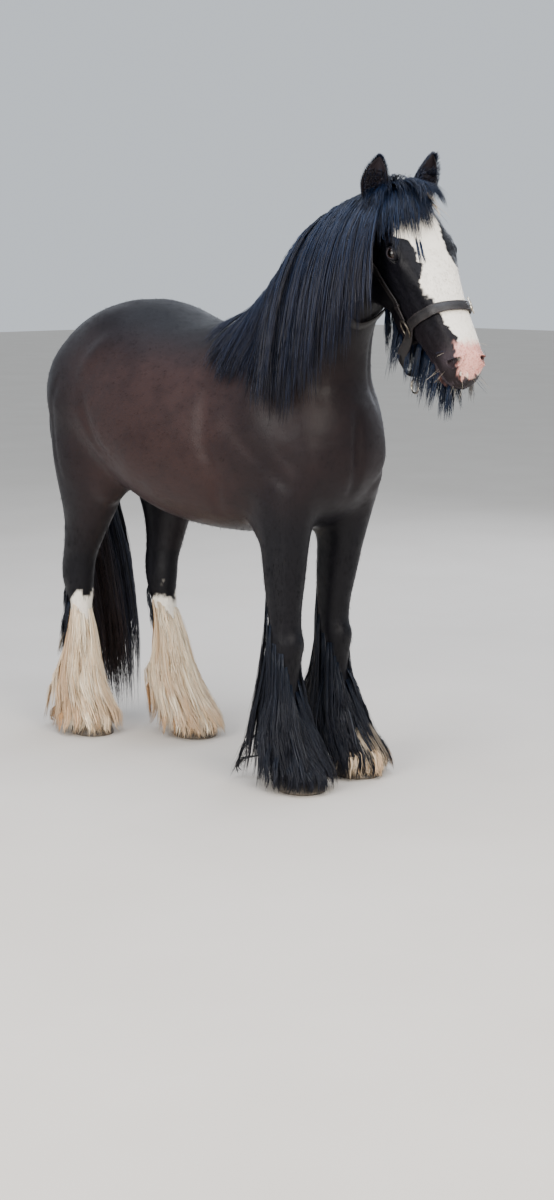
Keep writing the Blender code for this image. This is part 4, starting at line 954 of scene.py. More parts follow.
    # Furrows between the muscles and folds of the skin: depth, less than 0 for a ridge, width,
    # and the line on the left side. A line along the middle is drawn once.
    grooves: tuple = (
        (0.0065, 0.026, (0.17, 0.16, 1.38), (0.30, 0.22, 1.26), (0.41, 0.20, 1.12)),
        (0.0070, 0.030, (0.10, 0.27, 1.22), (0.12, 0.27, 1.05), (0.19, 0.23, 0.90)),
        (0.0050, 0.024, (0.24, 0.24, 1.06), (0.33, 0.21, 0.98), (0.40, 0.17, 0.92)),
        (0.0070, 0.022, (0.10, 0.20, 0.84), (0.13, 0.22, 0.95), (0.10, 0.27, 1.05)),
        (0.0060, 0.018, (0.60, 0.09, 1.52), (0.51, 0.11, 1.34), (0.47, 0.13, 1.16)),
        (0.0130, 0.018, (0.50, 0.00, 1.14), (0.50, 0.00, 1.02), (0.47, 0.00, 0.90)),
        (0.0060, 0.018, (0.46, 0.10, 0.90), (0.42, 0.15, 0.97), (0.38, 0.20, 1.02)),
        (0.0080, 0.026, (-0.32, 0.29, 0.95), (-0.40, 0.28, 1.02), (-0.45, 0.28, 1.14)),
        (0.0120, 0.024, (-0.45, 0.0, 1.48), (-0.60, 0.0, 1.44), (-0.76, 0.0, 1.34)),
        (0.0070, 0.020, (-0.76, 0.13, 1.22), (-0.74, 0.18, 1.05), (-0.68, 0.17, 0.88)),
        (0.0050, 0.018, (-0.60, 0.24, 1.20), (-0.66, 0.22, 1.05), (-0.62, 0.19, 0.88)),
        (-0.0080, 0.036, (-0.35, 0.24, 1.36), (-0.41, 0.27, 1.31), (-0.46, 0.27, 1.24)),
        (0.0045, 0.012, (0.34, 0.19, 0.80), (0.345, 0.18, 0.68), (0.345, 0.17, 0.56)),
        (0.0060, 0.012, (0.58, 0.07, 1.50), (0.60, 0.00, 1.46)),
    )
    # The same in the head's axes: cheek bone, cheek, nose, brow, mouth, nostril and vein
    head_grooves: tuple = (
        (-0.0042, 0.009, (0.300, 0.085, 0.078), (0.250, 0.082, 0.085), (0.205, 0.085, 0.100)),
        (0.0036, 0.013, (0.300, 0.110, 0.075), (0.270, 0.150, 0.080), (0.275, 0.195, 0.080)),
        (0.0042, 0.017, (0.285, 0.045, 0.070), (0.380, 0.045, 0.066), (0.470, 0.040, 0.062)),
        (0.0060, 0.013, (0.118, 0.030, 0.085), (0.140, 0.022, 0.085)),
        (0.0022, 0.006, (0.505, 0.112, 0.050), (0.480, 0.108, 0.060), (0.462, 0.118, 0.062)),
        (0.0022, 0.011, (0.500, 0.060, 0.060), (0.470, 0.075, 0.062), (0.430, 0.078, 0.066)),
        (-0.0020, 0.004, (0.360, 0.100, 0.066), (0.330, 0.094, 0.070), (0.290, 0.100, 0.075)),
    )
    points: Array = field(init=False)
    faces: Array = field(init=False)
    surface: Surface = field(init=False)

    def masses(self) -> list[Form]:
        """All the masses, still apart.

        Returns:
            A closed form for each.
        """
        rings = [ring(np.array((x, 0, wide)), UP, SIDEWAYS, top - wide, wide - low, half, peak)
                 for x, top, low, half, wide, peak in smoothed(np.array(self.torso), 6)]
        forms = [loft(rings)]
        for sign in (-1, 1):
            for (x, y, z), radii in self.muscles:
                forms.append(ellipsoid(np.array((x, sign * y, z)), radii))
        rings = []
        for crest_x, crest_z, throat_x, throat_z, y, half, peak in smoothed(self.neck, 6):
            crest, throat = np.array((crest_x, y, crest_z)), np.array((throat_x, y, throat_z))
            height = float(np.linalg.norm(crest - throat))
            rings.append(ring(throat + (crest - throat) * 0.45, (crest - throat) / height,
                              SIDEWAYS, 0.55 * height, 0.45 * height, half, peak))
        forms.append(loft(rings))
        forms += self.head_masses()
        for stance in STANCES:
            sections = stance.sections(self.leg(stance))
            forms.append(loft([ring(c, AHEAD, SIDEWAYS, depth, depth, half, 2.1, 2.1, 24)
                               for c, depth, half in sections]))
            for z, by_x, by_y, radii in self.fore_lumps if stance.fore else self.hind_lumps:
                base = nearest(sections, z)[0]
                place = base + np.array((by_x, stance.side.value * by_y, z - base[2]))
                forms.append(ellipsoid(place, radii))
        return forms

    def leg(self, stance: Stance) -> tuple:
        """The pattern leg's rows."""
        return self.fore_leg if stance.fore else self.hind_leg

    def head_masses(self) -> list[Form]:
        """The masses of skull, cheeks, brows, jaws, nostrils and lips.

        Returns:
            A closed form for each.
        """
        _, back, left = self.head.axes
        size = self.head.scale
        rings = []
        for s, face, under, half, wide, peak in smoothed(np.array(self.skull), 6):
            depth = (under - face) * size
            centre = np.array(self.head.on(s, face + (under - face) * wide, 0))
            rings.append(ring(centre, -back, left, depth * wide, depth * (1 - wide),
                              half * size, peak, 2.0))
        forms = [loft(rings)]
        placed = [((s, n, sign * w), radii) for sign in (-1, 1)
                  for (s, n, w), radii in self.face_pairs]
        for place, radii in (*placed, *self.lips):
            forms.append(ellipsoid(np.array(self.head.on(*place)),
                                   tuple(r * size for r in radii), self.head.axes))
        return forms

    def fused(self) -> Mesh:
        """The masses joined by a voxel remesh.

        Returns:
            The mesh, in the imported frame.
        """
        mesh = mesh_of("masses", *gathered(self.masses()))
        item = bpy.data.objects.new("masses", mesh)
        bpy.context.scene.collection.objects.link(item)
        fuse = item.modifiers.new("fuse", "REMESH")
        fuse.mode = "VOXEL"
        fuse.voxel_size = self.voxel
        graph = bpy.context.evaluated_depsgraph_get()
        made = bpy.data.meshes.new_from_object(item.evaluated_get(graph))
        bpy.data.objects.remove(item, do_unlink=True)
        return made

    def thinness(self, points: Array) -> Array:
        """How far each point is on a thin part, head or lower leg.

        Args:
            points: the skin's points.

        Returns:
            One value for each, from 0 to 1.
        """
        low = ease(points[:, 2], 0.74, 0.62)
        ahead = ease(points[:, 0], 0.56, 0.62) * (points[:, 2] > HEAD_LOW)
        return np.maximum(low, ahead)

    def divided(self, mesh: Mesh) -> None:
        """Halves the mesh's edges on the head, and again round the eyes and the muzzle.

        Args:
            mesh: the skin.
        """
        for fine in (False, True):
            work = bmesh.new()
            work.from_mesh(mesh)
            places = np.array([v.co for v in work.verts]) + MIDDLE
            s, n, w = self.head.read(places)
            if fine:
                chosen = (s > 0.42) & (s < 0.7) & (n < 0.19) & (n > -0.05)
                chosen |= (np.hypot(s - 0.187, n - 0.035) < 0.055) & (np.abs(w) > 0.05)
                chosen &= np.abs(w) < 0.14
            else:
                chosen = (s > 0.02) & (s < 0.7) & (n < 0.28) & (n > -0.1) & (np.abs(w) < 0.16)
            work.verts.ensure_lookup_table()
            edges = [e for e in work.edges
                     if chosen[e.verts[0].index] and chosen[e.verts[1].index]]
            bmesh.ops.subdivide_edges(work, edges=edges, cuts=1, use_grid_fill=True)
            work.to_mesh(mesh)
            work.free()

    def carve(self, points: Array, normals: Array, surface: Surface) -> Array:
        """The points moved by the furrows and folds.

        Args:
            points: the skin's points.
            normals: the direction out of the skin at each.
            surface: the skin, on which the lines are laid.

        Returns:
            The points after it.
        """
        change = np.zeros(len(points))
        placed = [(groove, False) for groove in self.grooves]
        placed += [(groove, True) for groove in self.head_grooves]
        for (depth, width, *line), on_head in placed:
            for sign in (-1, 1) if any(b for _, b, _ in line) else (1,):
                rough = [self.head.on(a, b, sign * c) if on_head else Vector((a, sign * b, c))
                         for a, b, c in line]
                path = smoothed(np.array([surface.tree.find_nearest(p)[0] for p in rough]), 10)
                reach = 2.6 * width
                near = np.all((points > path.min(0) - reach) & (points < path.max(0) + reach),
                              axis=1)
                where = np.nonzero(near)[0]
                if not len(where):
                    continue
                away = np.linalg.norm(points[where, None] - path[None], axis=2)
                along = away.argmin(1) / (len(path) - 1)
                fade = np.sin(math.pi * np.clip(along * 0.9 + 0.05, 0, 1)) ** 0.6
                change[where] -= depth * fade * np.exp(-(away.min(1) / width) ** 2)
        return points + normals * change[:, None]

    def build(self, face: "Face") -> Mesh:
        """The whole skin.

        Args:
            face: the fine forms of the head, which are pressed into it.

        Returns:
            The mesh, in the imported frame.
        """
        mesh = self.fused()
        points, _, edges = read_mesh(mesh)
        thin = self.thinness(points)
        points = relaxed(points, edges, 1 - thin, self.thick_passes)
        points = relaxed(points, edges, thin, self.thin_passes)
        points = relaxed(points, edges, np.ones(len(points)), self.even_passes, True)
        move_mesh(mesh, points)
        self.divided(mesh)
        points, corners, edges = read_mesh(mesh)
        on_head = (self.head.read(points)[0] > 0.0).astype(float) * (points[:, 2] > HEAD_LOW)
        points = relaxed(points, edges, on_head, 6, True)
        for work in (self.carve, face.press):
            normals = move_mesh(mesh, points)
            points = work(points, normals, Surface(points, corners))
            points = relaxed(points, edges, np.full(len(points), 0.5), 1, True)
        points = points - move_mesh(mesh, points) * COAT_DEPTH
        move_mesh(mesh, points)
        mesh.polygons.foreach_set("use_smooth", np.full(len(mesh.polygons), True))
        mesh.name = "skin"
        self.points, self.faces = points, corners
        self.surface = Surface(points, corners)
        return mesh


@dataclass
class Face:
    """Eyes, lids, nostrils and mouth."""

    head: Head
    eye_place: tuple[float, float, float] = (0.192, 0.033, 0.090)
    eye_radius: float = 0.0215
    eye_sunk: float = 0.0150
    lid_long: float = 0.0185
    lid_high: float = 0.0125
    # Reach of each ring of a lid, as a share of its opening, and its height over the eyeball
    lid_rings: tuple = ((0.90, 0.0002), (0.97, 0.0008), (1.00, 0.0022), (1.05, 0.0036),
                        (1.13, 0.0042), (1.22, 0.0040), (1.30, 0.0026), (1.36, 0.0024),
                        (1.48, 0.0040))
    nostril_place: tuple[float, float, float] = (0.528, 0.056, 0.045)
    nostril_long: float = 0.0200
    nostril_short: float = 0.0105
    nostril_deep: float = 0.017
    nostril_rim: float = 0.0042
    mouth_from: float = 0.485
    mouth_n: float = 0.118
    mouth_deep: float = 0.0052
    mouth_wide: float = 0.0030
    centres: dict = field(default_factory=dict)

    def eye_axes(self, side: Side) -> tuple[Vector, Vector, Vector]:
        """Unit vectors out of the eye, along its slit and up.

        Args:
            side: which eye.

        Returns:
            The three.
        """
        head = self.head
        out = (head.left * side.value * 0.93 - head.back * 0.30 + head.down * 0.05).normalized()
        along = (head.down - out * head.down.dot(out)).normalized()
        up = out.cross(along)
        return out, along, up if up.z > 0 else -up

    def press(self, points: Array, normals: Array, surface: Surface) -> Array:
        """Sockets, nostrils and the line of the mouth pressed into the skin.

        Args:
            points: the skin's points.
            normals: the direction out of the skin at each.
            surface: the skin before it.

        Returns:
            The points after it.
        """
        for side in Side:
            points = self.press_socket(points, surface, side)
            points = self.press_nostril(points, normals, surface, side)
        s, n, w = self.head.read(points)
        line = self.mouth_n - 0.010 * ease(s, 0.54, 0.60) - 0.006 * np.cos(w / 0.03)
        near = bump(n, line, self.mouth_wide) * ease(s, self.mouth_from, 0.500)
        lip = bump(n, line, 0.011) * ease(s, self.mouth_from, 0.52)
        lift = (lip * 0.0026 - near * self.mouth_deep) * (np.abs(w) < 0.09) * (s < 0.68)
        return points + normals * lift[:, None]

    def press_socket(self, points: Array, surface: Surface, side: Side) -> Array:
        """The skin sunk behind an eyeball, and raised round it.

        Args:
            points: the skin's points.
            surface: the skin before it.
            side: which eye.

        Returns:
            The points after it.
        """
        out, along, up = self.eye_axes(side)
        s, n, _ = self.eye_place
        place, _ = surface.hit(self.head.on(s, n, side.value * 0.20), -self.head.left * side.value)
        centre = place - out * self.eye_sunk
        self.centres[side] = centre
        rel = points - np.array(centre)
        a, u, o = rel @ np.array(along), rel @ np.array(up), rel @ np.array(out)
        r = np.hypot(a / (self.lid_long * 1.35), u / (self.lid_high * 1.45))
        near = (np.abs(a) < 0.07) & (np.abs(u) < 0.06) & (o > -0.02)
        sink = ease(r, 1.25, 0.85) * 0.030 * near
        brow = bump(r, 1.75, 0.45) * 0.0035 * near * np.where(u > 0, 1.0, 0.5)
        return points + np.outer(brow - sink, np.array(out))

    def press_nostril(self, points: Array, normals: Array, surface: Surface,
                      side: Side) -> Array:
        """A comma-shaped nostril with its rim.

        Args:
            points: the skin's points.
            normals: the direction out of the skin at each.
            surface: the skin before it.
            side: which nostril.

        Returns:
            The points after it.
        """
        head = self.head
        s, n, _ = self.nostril_place
        out = (head.left * side.value * 0.80 - head.back * 0.35 + head.down * 0.50).normalized()
        place, _ = surface.hit(head.on(s, n, 0) + out * 0.20, -out)
        long_way = head.back * 0.85 - head.down * 0.50
        long_way = (long_way - out * long_way.dot(out)).normalized()
        short_way = out.cross(long_way)
        rel = points - np.array(place)
        a, b = rel @ np.array(long_way), rel @ np.array(short_way)
        bend = b - side.value * 0.006 * (a / self.nostril_long) ** 2
        r = np.hypot(a / self.nostril_long, bend / self.nostril_short)
        near = np.linalg.norm(rel, axis=1) < 0.05
        hole = ease(r, 1.02, 0.55) * near
        rim = bump(r, 1.22, 0.24) * near
        moved = points + normals * (rim * self.nostril_rim)[:, None]
        inward = np.array(-out * 0.7 + head.back * 0.2 - head.down * 0.66)
        return moved + np.outer(hole * self.nostril_deep, inward)

    def eyeball(self, side: Side, material: Material) -> None:
        """One eyeball with a bulging cornea.

        Args:
            side: which eye.
            material: its finish.
        """
        out, along, up = (np.array(v) for v in self.eye_axes(side))
        centre = np.array(self.centres[side])
        c, s = circle(64)
        rings = []
        for tilt in np.linspace(-math.pi / 2, math.pi / 2, 41)[1:-1]:
            flat = math.cos(tilt)
            bulge = 1 + 0.035 * float(ease(np.array(math.degrees(tilt)), 35, 65))
            ball = np.outer(c * flat, along) + np.outer(s * flat, up) + math.sin(tilt) * out
            rings.append(centre + ball * self.eye_radius * bulge)
        points, faces = loft(rings)
        rel = (points - centre) / self.eye_radius
        a, u, o = rel @ along, rel @ up, rel @ out
        oval = np.hypot(a * 0.62, u * 1.25)
        iris = np.hypot(a * 1.10, u * 1.25)
        away = np.maximum(oval * ease(iris, 0.9, 0.5) + iris * ease(iris, 0.5, 0.9), 0)
        mesh = mesh_of("eyeball_" + side.word, points, faces)
        store(mesh, "away", np.where(o > 0, away, 2.0))
        show("eyeball_" + side.word, mesh, material, Slot.EYE, "eye_" + side.word)

    def lids(self, side: Side, skin: Surface, material: Material) -> None:
        """Both lids of an eye, as one fold of skin from the eyeball out to the brow.

        Args:
            side: which eye.
            skin: the finished skin.
            material: the coat's finish.
        """
        out, along, up = (np.array(v) for v in self.eye_axes(side))
        centre = np.array(self.centres[side])
        count = 72
        c, s = circle(count)
        high = np.where(s > 0, self.lid_high, self.lid_high * 0.86)
        rings = []
        for spread, lift in self.lid_rings:
            a = c * self.lid_long * spread
            u = s * np.abs(s) ** 0.25 * high * spread
            reach = np.sqrt(np.maximum((self.eye_radius + lift) ** 2 - a * a - u * u, 1e-6))
            rings.append(centre + np.outer(a, along) + np.outer(u, up) + np.outer(reach, out))
        edge = rings[-1]
        outer = []
        for a, u in zip(c * self.lid_long * 2.05, s * high * 2.15):
            place, normal = skin.hit(Vector(centre + along * a + up * u + out * 0.08),
                                     Vector(-out))
            outer.append(np.array(place - normal * 0.0012))
        for share in (0.2, 0.4, 0.6, 0.8, 1.0):
            lift = math.sin(math.pi * share) * 0.0022
            rings.append(edge + (np.array(outer) - edge) * share + out * lift)
        quads = woven(len(rings), count)
        if side is Side.LEFT:
            quads = quads[:, ::-1]
        points = np.concatenate(rings)
        mesh = mesh_of("lids_" + side.word, points, quads)
        store(mesh, "marks", np.zeros((len(points), 3)))
        store(mesh, "bare", np.where(np.arange(len(points)) < count * 3, 0.6, 0.0))
        show("lids_" + side.word, mesh, material, Slot.COAT)


@dataclass
class Markings:
    """Where the coat is white, pink, warm or bare, as functions of place."""

    head: Head
    # Place down the face, and how far to the right and left of its middle the white reaches
    blaze: tuple = (
        (0.030, -0.020, 0.020), (0.090, -0.058, 0.050), (0.120, -0.071, 0.058),
        (0.150, -0.086, 0.056), (0.163, -0.080, 0.052), (0.178, -0.060, 0.048),
        (0.196, -0.051, 0.047), (0.216, -0.046, 0.048), (0.243, -0.050, 0.056),
        (0.257, -0.042, 0.066), (0.283, -0.051, 0.078), (0.308, -0.060, 0.085),
        (0.330, -0.061, 0.085), (0.351, -0.055, 0.082), (0.380, -0.045, 0.078),
        (0.420, -0.041, 0.075), (0.445, -0.038, 0.072), (0.474, -0.032, 0.070),
        (0.495, -0.027, 0.068), (0.508, -0.029, 0.066), (0.514, -0.033, 0.062),
        (0.540, -0.033, 0.058), (0.580, -0.028, 0.055), (0.640, -0.030, 0.050),
    )
    face_reach: float = 0.062
    # Height of the hind stockings' upper edge in front and behind, and how ragged it is
    hock_front: float = 0.478
    hock_behind: float = 0.368
    hock_ragged: float = 0.040

    def on_face(self, points: Array) -> Array:
        """Share of white from the blaze.

        Args:
            points: places on the skin.

        Returns:
            One share for each.
        """
        s, n, w = self.head.read(points)
        table = np.array(self.blaze)
        ragged = 0.0020 * ripple(points, 0.006, 3) + 0.003 * ripple(points, 0.018, 4)
        right, left = (np.interp(s, table[:, 0], table[:, k]) + ragged for k in (1, 2))
        reach = self.face_reach + 0.5 * ragged + 0.03 * ease(s, 0.24, 0.30) * (w > 0)
        inside = ease(w - right, -0.002, 0.002) * ease(left - w, -0.002, 0.002)
        inside *= ease(reach - n, -0.003, 0.003)
        inside *= 1 - ease(s, 0.500, 0.530) * ease(n, 0.050, 0.066)
        return inside * ease(s, 0.03, 0.05) * (s < 0.66) * (points[:, 2] > HEAD_LOW)

    def on_muzzle(self, points: Array) -> Array:
        """Whether each point is on the end of the head."""
        s = self.head.read(points)[0]
        return (s > 0.42) * (s < 0.68) * (points[:, 2] > HEAD_LOW)

    def pink_share(self, points: Array) -> Array:
        """Share of bare pink skin, on the end of the nose and the lips.

        Args:
            points: places on the skin.

        Returns:
            One share for each.
        """
        s, n, w = self.head.read(points)
        blur = 0.006 * ripple(points, 0.010, 5)
        end = ease(s + blur, 0.496, 0.526) * ease(w + blur, -0.044, -0.036)
        dark_rim = ease(np.hypot(s - 0.532, n - 0.055) + 0.5 * blur, 0.024, 0.034)
        dark_low = ease(n + 1.6 * blur, 0.064, 0.048)
        end = end * dark_low * np.where(w < 0, dark_rim, 1.0)
        lip = np.exp(-(((s - 0.512) / 0.024) ** 2 + ((n - 0.162) / 0.018) ** 2
                       + ((w + 0.022) / 0.020) ** 2)) * 1.6
        lip = np.clip(lip + 12 * blur, 0, 1) * ease(n, 0.120, 0.128)
        return np.clip(np.maximum(end, lip), 0, 1) * self.on_muzzle(points)

    def bare(self, points: Array) -> Array:
        """Share of slate skin: inside of nostrils and lips, and spots by them.

        Args:
            points: places on the skin.

        Returns:
            One share for each.
        """
        s, n, w = self.head.read(points)
        lips = bump(n, 0.116, 0.009) * ease(s, 0.486, 0.51) * (s < 0.68)
        nose = bump(np.hypot(s - 0.532, n - 0.052), 0, 0.026) * (np.abs(w) > 0.02)
        spots = ease(ripple(points, 0.009, 8), 0.35, 0.7) * ease(s, 0.565, 0.585) * (n > 0.05)
        share = np.maximum(np.maximum(lips, nose), 0.9 * spots)
        return np.clip(share, 0, 1) * self.on_muzzle(points) * (np.abs(w) < 0.11)

    def on_legs(self, points: Array) -> Array:
        """Share of white on the hind stockings and the left fore pastern.

        Args:
            points: places on the skin.

        Returns:
            One share for each.
        """
        x, y, z = points.T
        ragged = self.hock_ragged * ripple(points, 0.030, 6) * 0.6
        middle = np.where(y > 0, -0.540, -0.700) + 0.25 * np.maximum(z - 0.30, 0) * (y > 0) * -0.4
        ahead = ease(x - middle, -0.035, 0.040)
        edge = self.hock_behind + (self.hock_front - self.hock_behind) * ahead
        hind = (x < -0.25) * ease(edge + ragged - z, -0.006, 0.006)
        front = ease(x, 0.330, 0.375) * (y > 0) * (x > 0.1)
        left_fore = front * ease(0.125 + ragged * 1.2 - z, -0.01, 0.01)
        streak = front * ease(0.30 - z, -0.03, 0.03) * ease(
            ripple(points * (1, 1, 0.15), 0.012, 9), 0.45, 0.75)
        return np.clip(hind + left_fore + 0.8 * streak, 0, 1)

    def warm(self, points: Array) -> Array:
        """Share of warm brown on barrel and flank.

        Args:
            points: places on the skin.

        Returns:
            One share for each.
        """
        x, y, z = points.T
        barrel = ease(z, 1.42, 1.20) * ease(x, 0.32, 0.05) * ease(x, -0.70, -0.30)
        shoulder = 0.35 * ease(x, 0.05, 0.30) * ease(z, 0.75, 1.0) * ease(z, 1.5, 1.2)
        thigh = 0.12 * ease(x, -0.3, -0.5) * ease(z, 0.8, 1.0)
        side = ease(np.abs(y), 0.05, 0.22)
        return np.clip(barrel * side + shoulder + thigh, 0, 1) * (z > 0.62)

    def of(self, points: Array) -> Array:
        """White, pink and warm shares of many points, in three columns."""
        white = np.clip(self.on_face(points) + self.on_legs(points), 0, 1)
        return np.stack([white, self.pink_share(points), self.warm(points)], axis=1)


def unrolled(head: Head, points: Array) -> Array:
    """Places on the skin laid flat in charts for head, trunk and each leg.

    Args:
        head: the head's axes.
        points: places on the skin.

    Returns:
        Two columns from 0 to 1.
    """
    x, y, z = points.T
    s, n, w = head.read(points)
    crest = np.interp(x, (-0.9, 0.1, 0.6), (1.08, 1.10, 1.62))
    flat = np.stack([0.02 + 0.96 * (x + 0.9) / 1.7,
                     0.02 + 0.46 * (np.arctan2(y, z - crest) / TURN + 0.5)], axis=1)
    ahead = (s > 0.0) & (z > 1.10) & (x > 0.55)
    flat[ahead] = np.stack([0.02 + 0.40 * (np.arctan2(w, 0.1 - n) / TURN + 0.5),
                            0.52 + 0.46 * s / 0.66], axis=1)[ahead]
    low = z < 0.70
    number = (x < -0.2) * 2 + (y > 0) * 1
    middle_x = np.array((0.335, 0.320, -0.690, -0.560))[number]
    middle_y = np.array((-0.130, 0.115, -0.118, 0.105))[number]
    angle = np.arctan2(y - middle_y, x - middle_x) / TURN + 0.5
    flat[low] = np.stack([0.46 + 0.13 * number + 0.12 * angle, 0.52 + 0.46 * z / 0.70],
                         axis=1)[low]
    return flat


@dataclass(frozen=True)
class Spread:
    """How the strands of a lock lie round its guide; sizes in metres."""

    per: int
    root: float
    middle: float
    tip: float
    over: float
    wave: float
    waves: float
    shortest: float
    half: float
    thick: float


class Tufts:
    """Thin tapered tufts, held as arrays until they become one mesh."""

    def __init__(self, head: Head) -> None:
        """Starts with none."""
        self.head = head
        self.parts: list[tuple[Array, ...]] = []

    def add(self, paths: Array, ups: Array, half: Array, thick: float, colours: Array) -> None:
        """Adds tufts: places, directions off them, half widths, thickness, colours."""
        sizes = np.stack([half, np.full(len(half), thick)], axis=1)
        self.parts.append((paths, ups, sizes, colours))

    def lock(self, locks: tuple[Array, Array, Array], spread: Spread, surface: Surface,
             lift: float, rng: np.random.Generator) -> None:
        """Adds locks of strands that lie round guides.

        Args:
            locks: for each lock the places along its middle, the directions off the lie of
                the hair, and its white, pink and warm share.
            spread: how its strands lie.
            surface: what the strands may not enter.
            lift: least height over it.
            rng: source of the chances.
        """
        guides, ups, colours = locks
        steps = guides.shape[1]
        count = len(guides) * spread.per
        index = np.repeat(np.arange(len(guides)), spread.per)
        t = np.linspace(0, 1, steps)
        side = unit(np.cross(unit(np.gradient(guides, axis=1)), ups))
        aside = rng.uniform(-1, 1, count)
        over = rng.uniform(-0.35, 1, count) * np.sqrt(1 - 0.8 * aside ** 2)
        width = np.interp(t, (0, 0.4, 1), (spread.root, spread.middle, spread.tip))
        rise = np.interp(t, (0, 0.15, 0.6, 1), (0.1, 0.7, 1, 0.6)) * spread.over
        phase = rng.uniform(0, TURN, (count, 1))
        beat = rng.uniform(0.6, 1.3, (count, 1)) * spread.waves * 2 * math.pi
        sway = np.sin(beat * t + phase) * spread.wave * t * rng.uniform(0.3, 1.4, (count, 1))
        lean = rng.normal(0, 0.35, (count, 1)) * spread.middle * t ** 2
        across = aside[:, None] * width + sway + lean
        paths = (guides[index] + side[index] * across[..., None]
                 + ups[index] * (over[:, None] * rise)[..., None])
        share = rng.uniform(spread.shortest, 1.0, count)
        place = share[:, None] * t * (steps - 1)
        low = np.minimum(place.astype(int), steps - 2)
        part = (place - low)[..., None]
        rows = np.arange(count)[:, None]
        paths = paths[rows, low] * (1 - part) + paths[rows, low + 1] * part
        least = np.tile(np.where(t < 0.05, -0.004, lift * np.minimum(t * 6, 1)), count)
        paths = surface.cleared(paths.reshape(-1, 3), least).reshape(paths.shape)
        paths[..., 2] = np.maximum(paths[..., 2], FLOOR_CLEAR)
        half = spread.half * rng.uniform(0.7, 1.3, count)
        self.add(paths, ups[index][rows, low], half, spread.thick, colours[index])

    def mesh(self, name: str, rng: np.random.Generator) -> Mesh:
        """All the tufts as one mesh of closed tapered slivers.

        Args:
            name: the mesh's name.
            rng: source of the chances.

        Returns:
            The mesh with marks, strand values and the coat's UV map.
        """
        paths, ups, sizes, colours = (np.concatenate(part) for part in zip(*self.parts))
        count, steps = paths.shape[:2]
        t = np.linspace(0, 1, steps)[:-1]
        along = unit(np.gradient(paths, axis=1))[:, :-1]
        side = unit(np.cross(along, ups[:, :-1]))
        over = np.cross(side, along)
        taper = (0.62 + 0.9 * t - 1.30 * t * t)[None, :, None]
        wide = side * sizes[:, 0, None, None] * taper
        high = over * sizes[:, 1, None, None] * taper
        body = paths[:, :-1]
        rows = np.stack([body + wide - high * 0.4, body + high, body - wide - high * 0.4], axis=2)
        each = 3 * (steps - 1) + 1
        points = np.concatenate([rows.reshape(count, -1, 3), paths[:, -1:]], axis=1)
        cell = []
        for r in range(steps - 2):
            for k in range(3):
                m = (k + 1) % 3
                a, b, c, d = 3 * r + k, 3 * r + m, 3 * r + 3 + m, 3 * r + 3 + k
                cell += [(a, b, c), (a, c, d)]
        last = 3 * (steps - 2)
        cell += [(last + k, last + (k + 1) % 3, each - 1) for k in range(3)]
        cell = np.array(cell + [(2, 1, 0)])[:, ::-1]
        faces = (np.arange(count)[:, None, None] * each + cell[None]).reshape(-1, 3)
        mesh = mesh_of(name, points.reshape(-1, 3), faces)
        store(mesh, "marks", np.repeat(colours, each, axis=0))
        along_share = np.concatenate([np.repeat(t, 3), [1.0]])
        shade = np.repeat(rng.uniform(0, 1, count) ** 1.6, each)
        store(mesh, "strand", np.stack([np.tile(along_share, count), shade,
                                        np.zeros(count * each)], axis=1))
        # Each tuft gets a small patch at its root's place on the unrolled skin
        flat = unrolled(self.head, paths[:, 0])
        least, most = flat.min(0), flat.max(0)
        flat = 0.004 + 0.988 * (flat - least) / np.maximum(most - least, 1e-6)
        corner = np.concatenate([np.tile((0.0, 0.5, 1.0), (each - 1) // 3), [0.5]])
        patch = np.stack([corner, along_share], axis=1) * PATCH
        places = (flat[:, None] + patch[None]).reshape(-1, 2)
        layer = mesh.uv_layers.new(name=MAP_NAME)
        layer.uv.foreach_set("vector", places[faces.ravel()].astype(np.float32).ravel())
        return mesh


def falling(start: Vector, heading: Vector, length: float, surface: Surface, lift: float,
            pull: float, steps: int, down: Vector = DOWN) -> Array:
    """A path that leaves start, bends down under its weight and lies on the surface.

    Args:
        start: where it is rooted.
        heading: the way it leaves.
        length: its length.
        surface: what it lies on.
        lift: its height over it.
        pull: how fast it bends down.
        steps: how many parts it has.
        down: the way it hangs.

    Returns:
        The places along it.
    """
    path = [start]
    for i in range(steps):
        heading = (heading * (1 - pull) + down * pull).normalized()
        rise = lift * min(1.0, 0.3 + 0.2 * i)
        point = surface.clear(path[-1] + heading * (length / steps), rise)
        heading = (point - path[-1]).normalized()
        path.append(point)
    return np.array(path)


def off_surface(path: Array, surface: Surface, first: Vector) -> Array:
    """A direction off the lie of the hair for each place of a path.

    Args:
        path: the places.
        surface: what the hair lies on.
        first: the direction at the root.

    Returns:
        One unit vector for each place.
    """
    found, way = [], Vector(first)
    for point in path:
        _, normal, _, away = surface.tree.find_nearest(Vector(point))
        if away < 0.09:
            way = (way + normal * 1.5).normalized()
        found.append(way)
    return np.array(found)


def stacked(locks: list[tuple]) -> tuple[Array, ...]:
    """Places, directions and colours of many locks, each in one array."""
    return tuple(np.array(part) for part in zip(*locks))


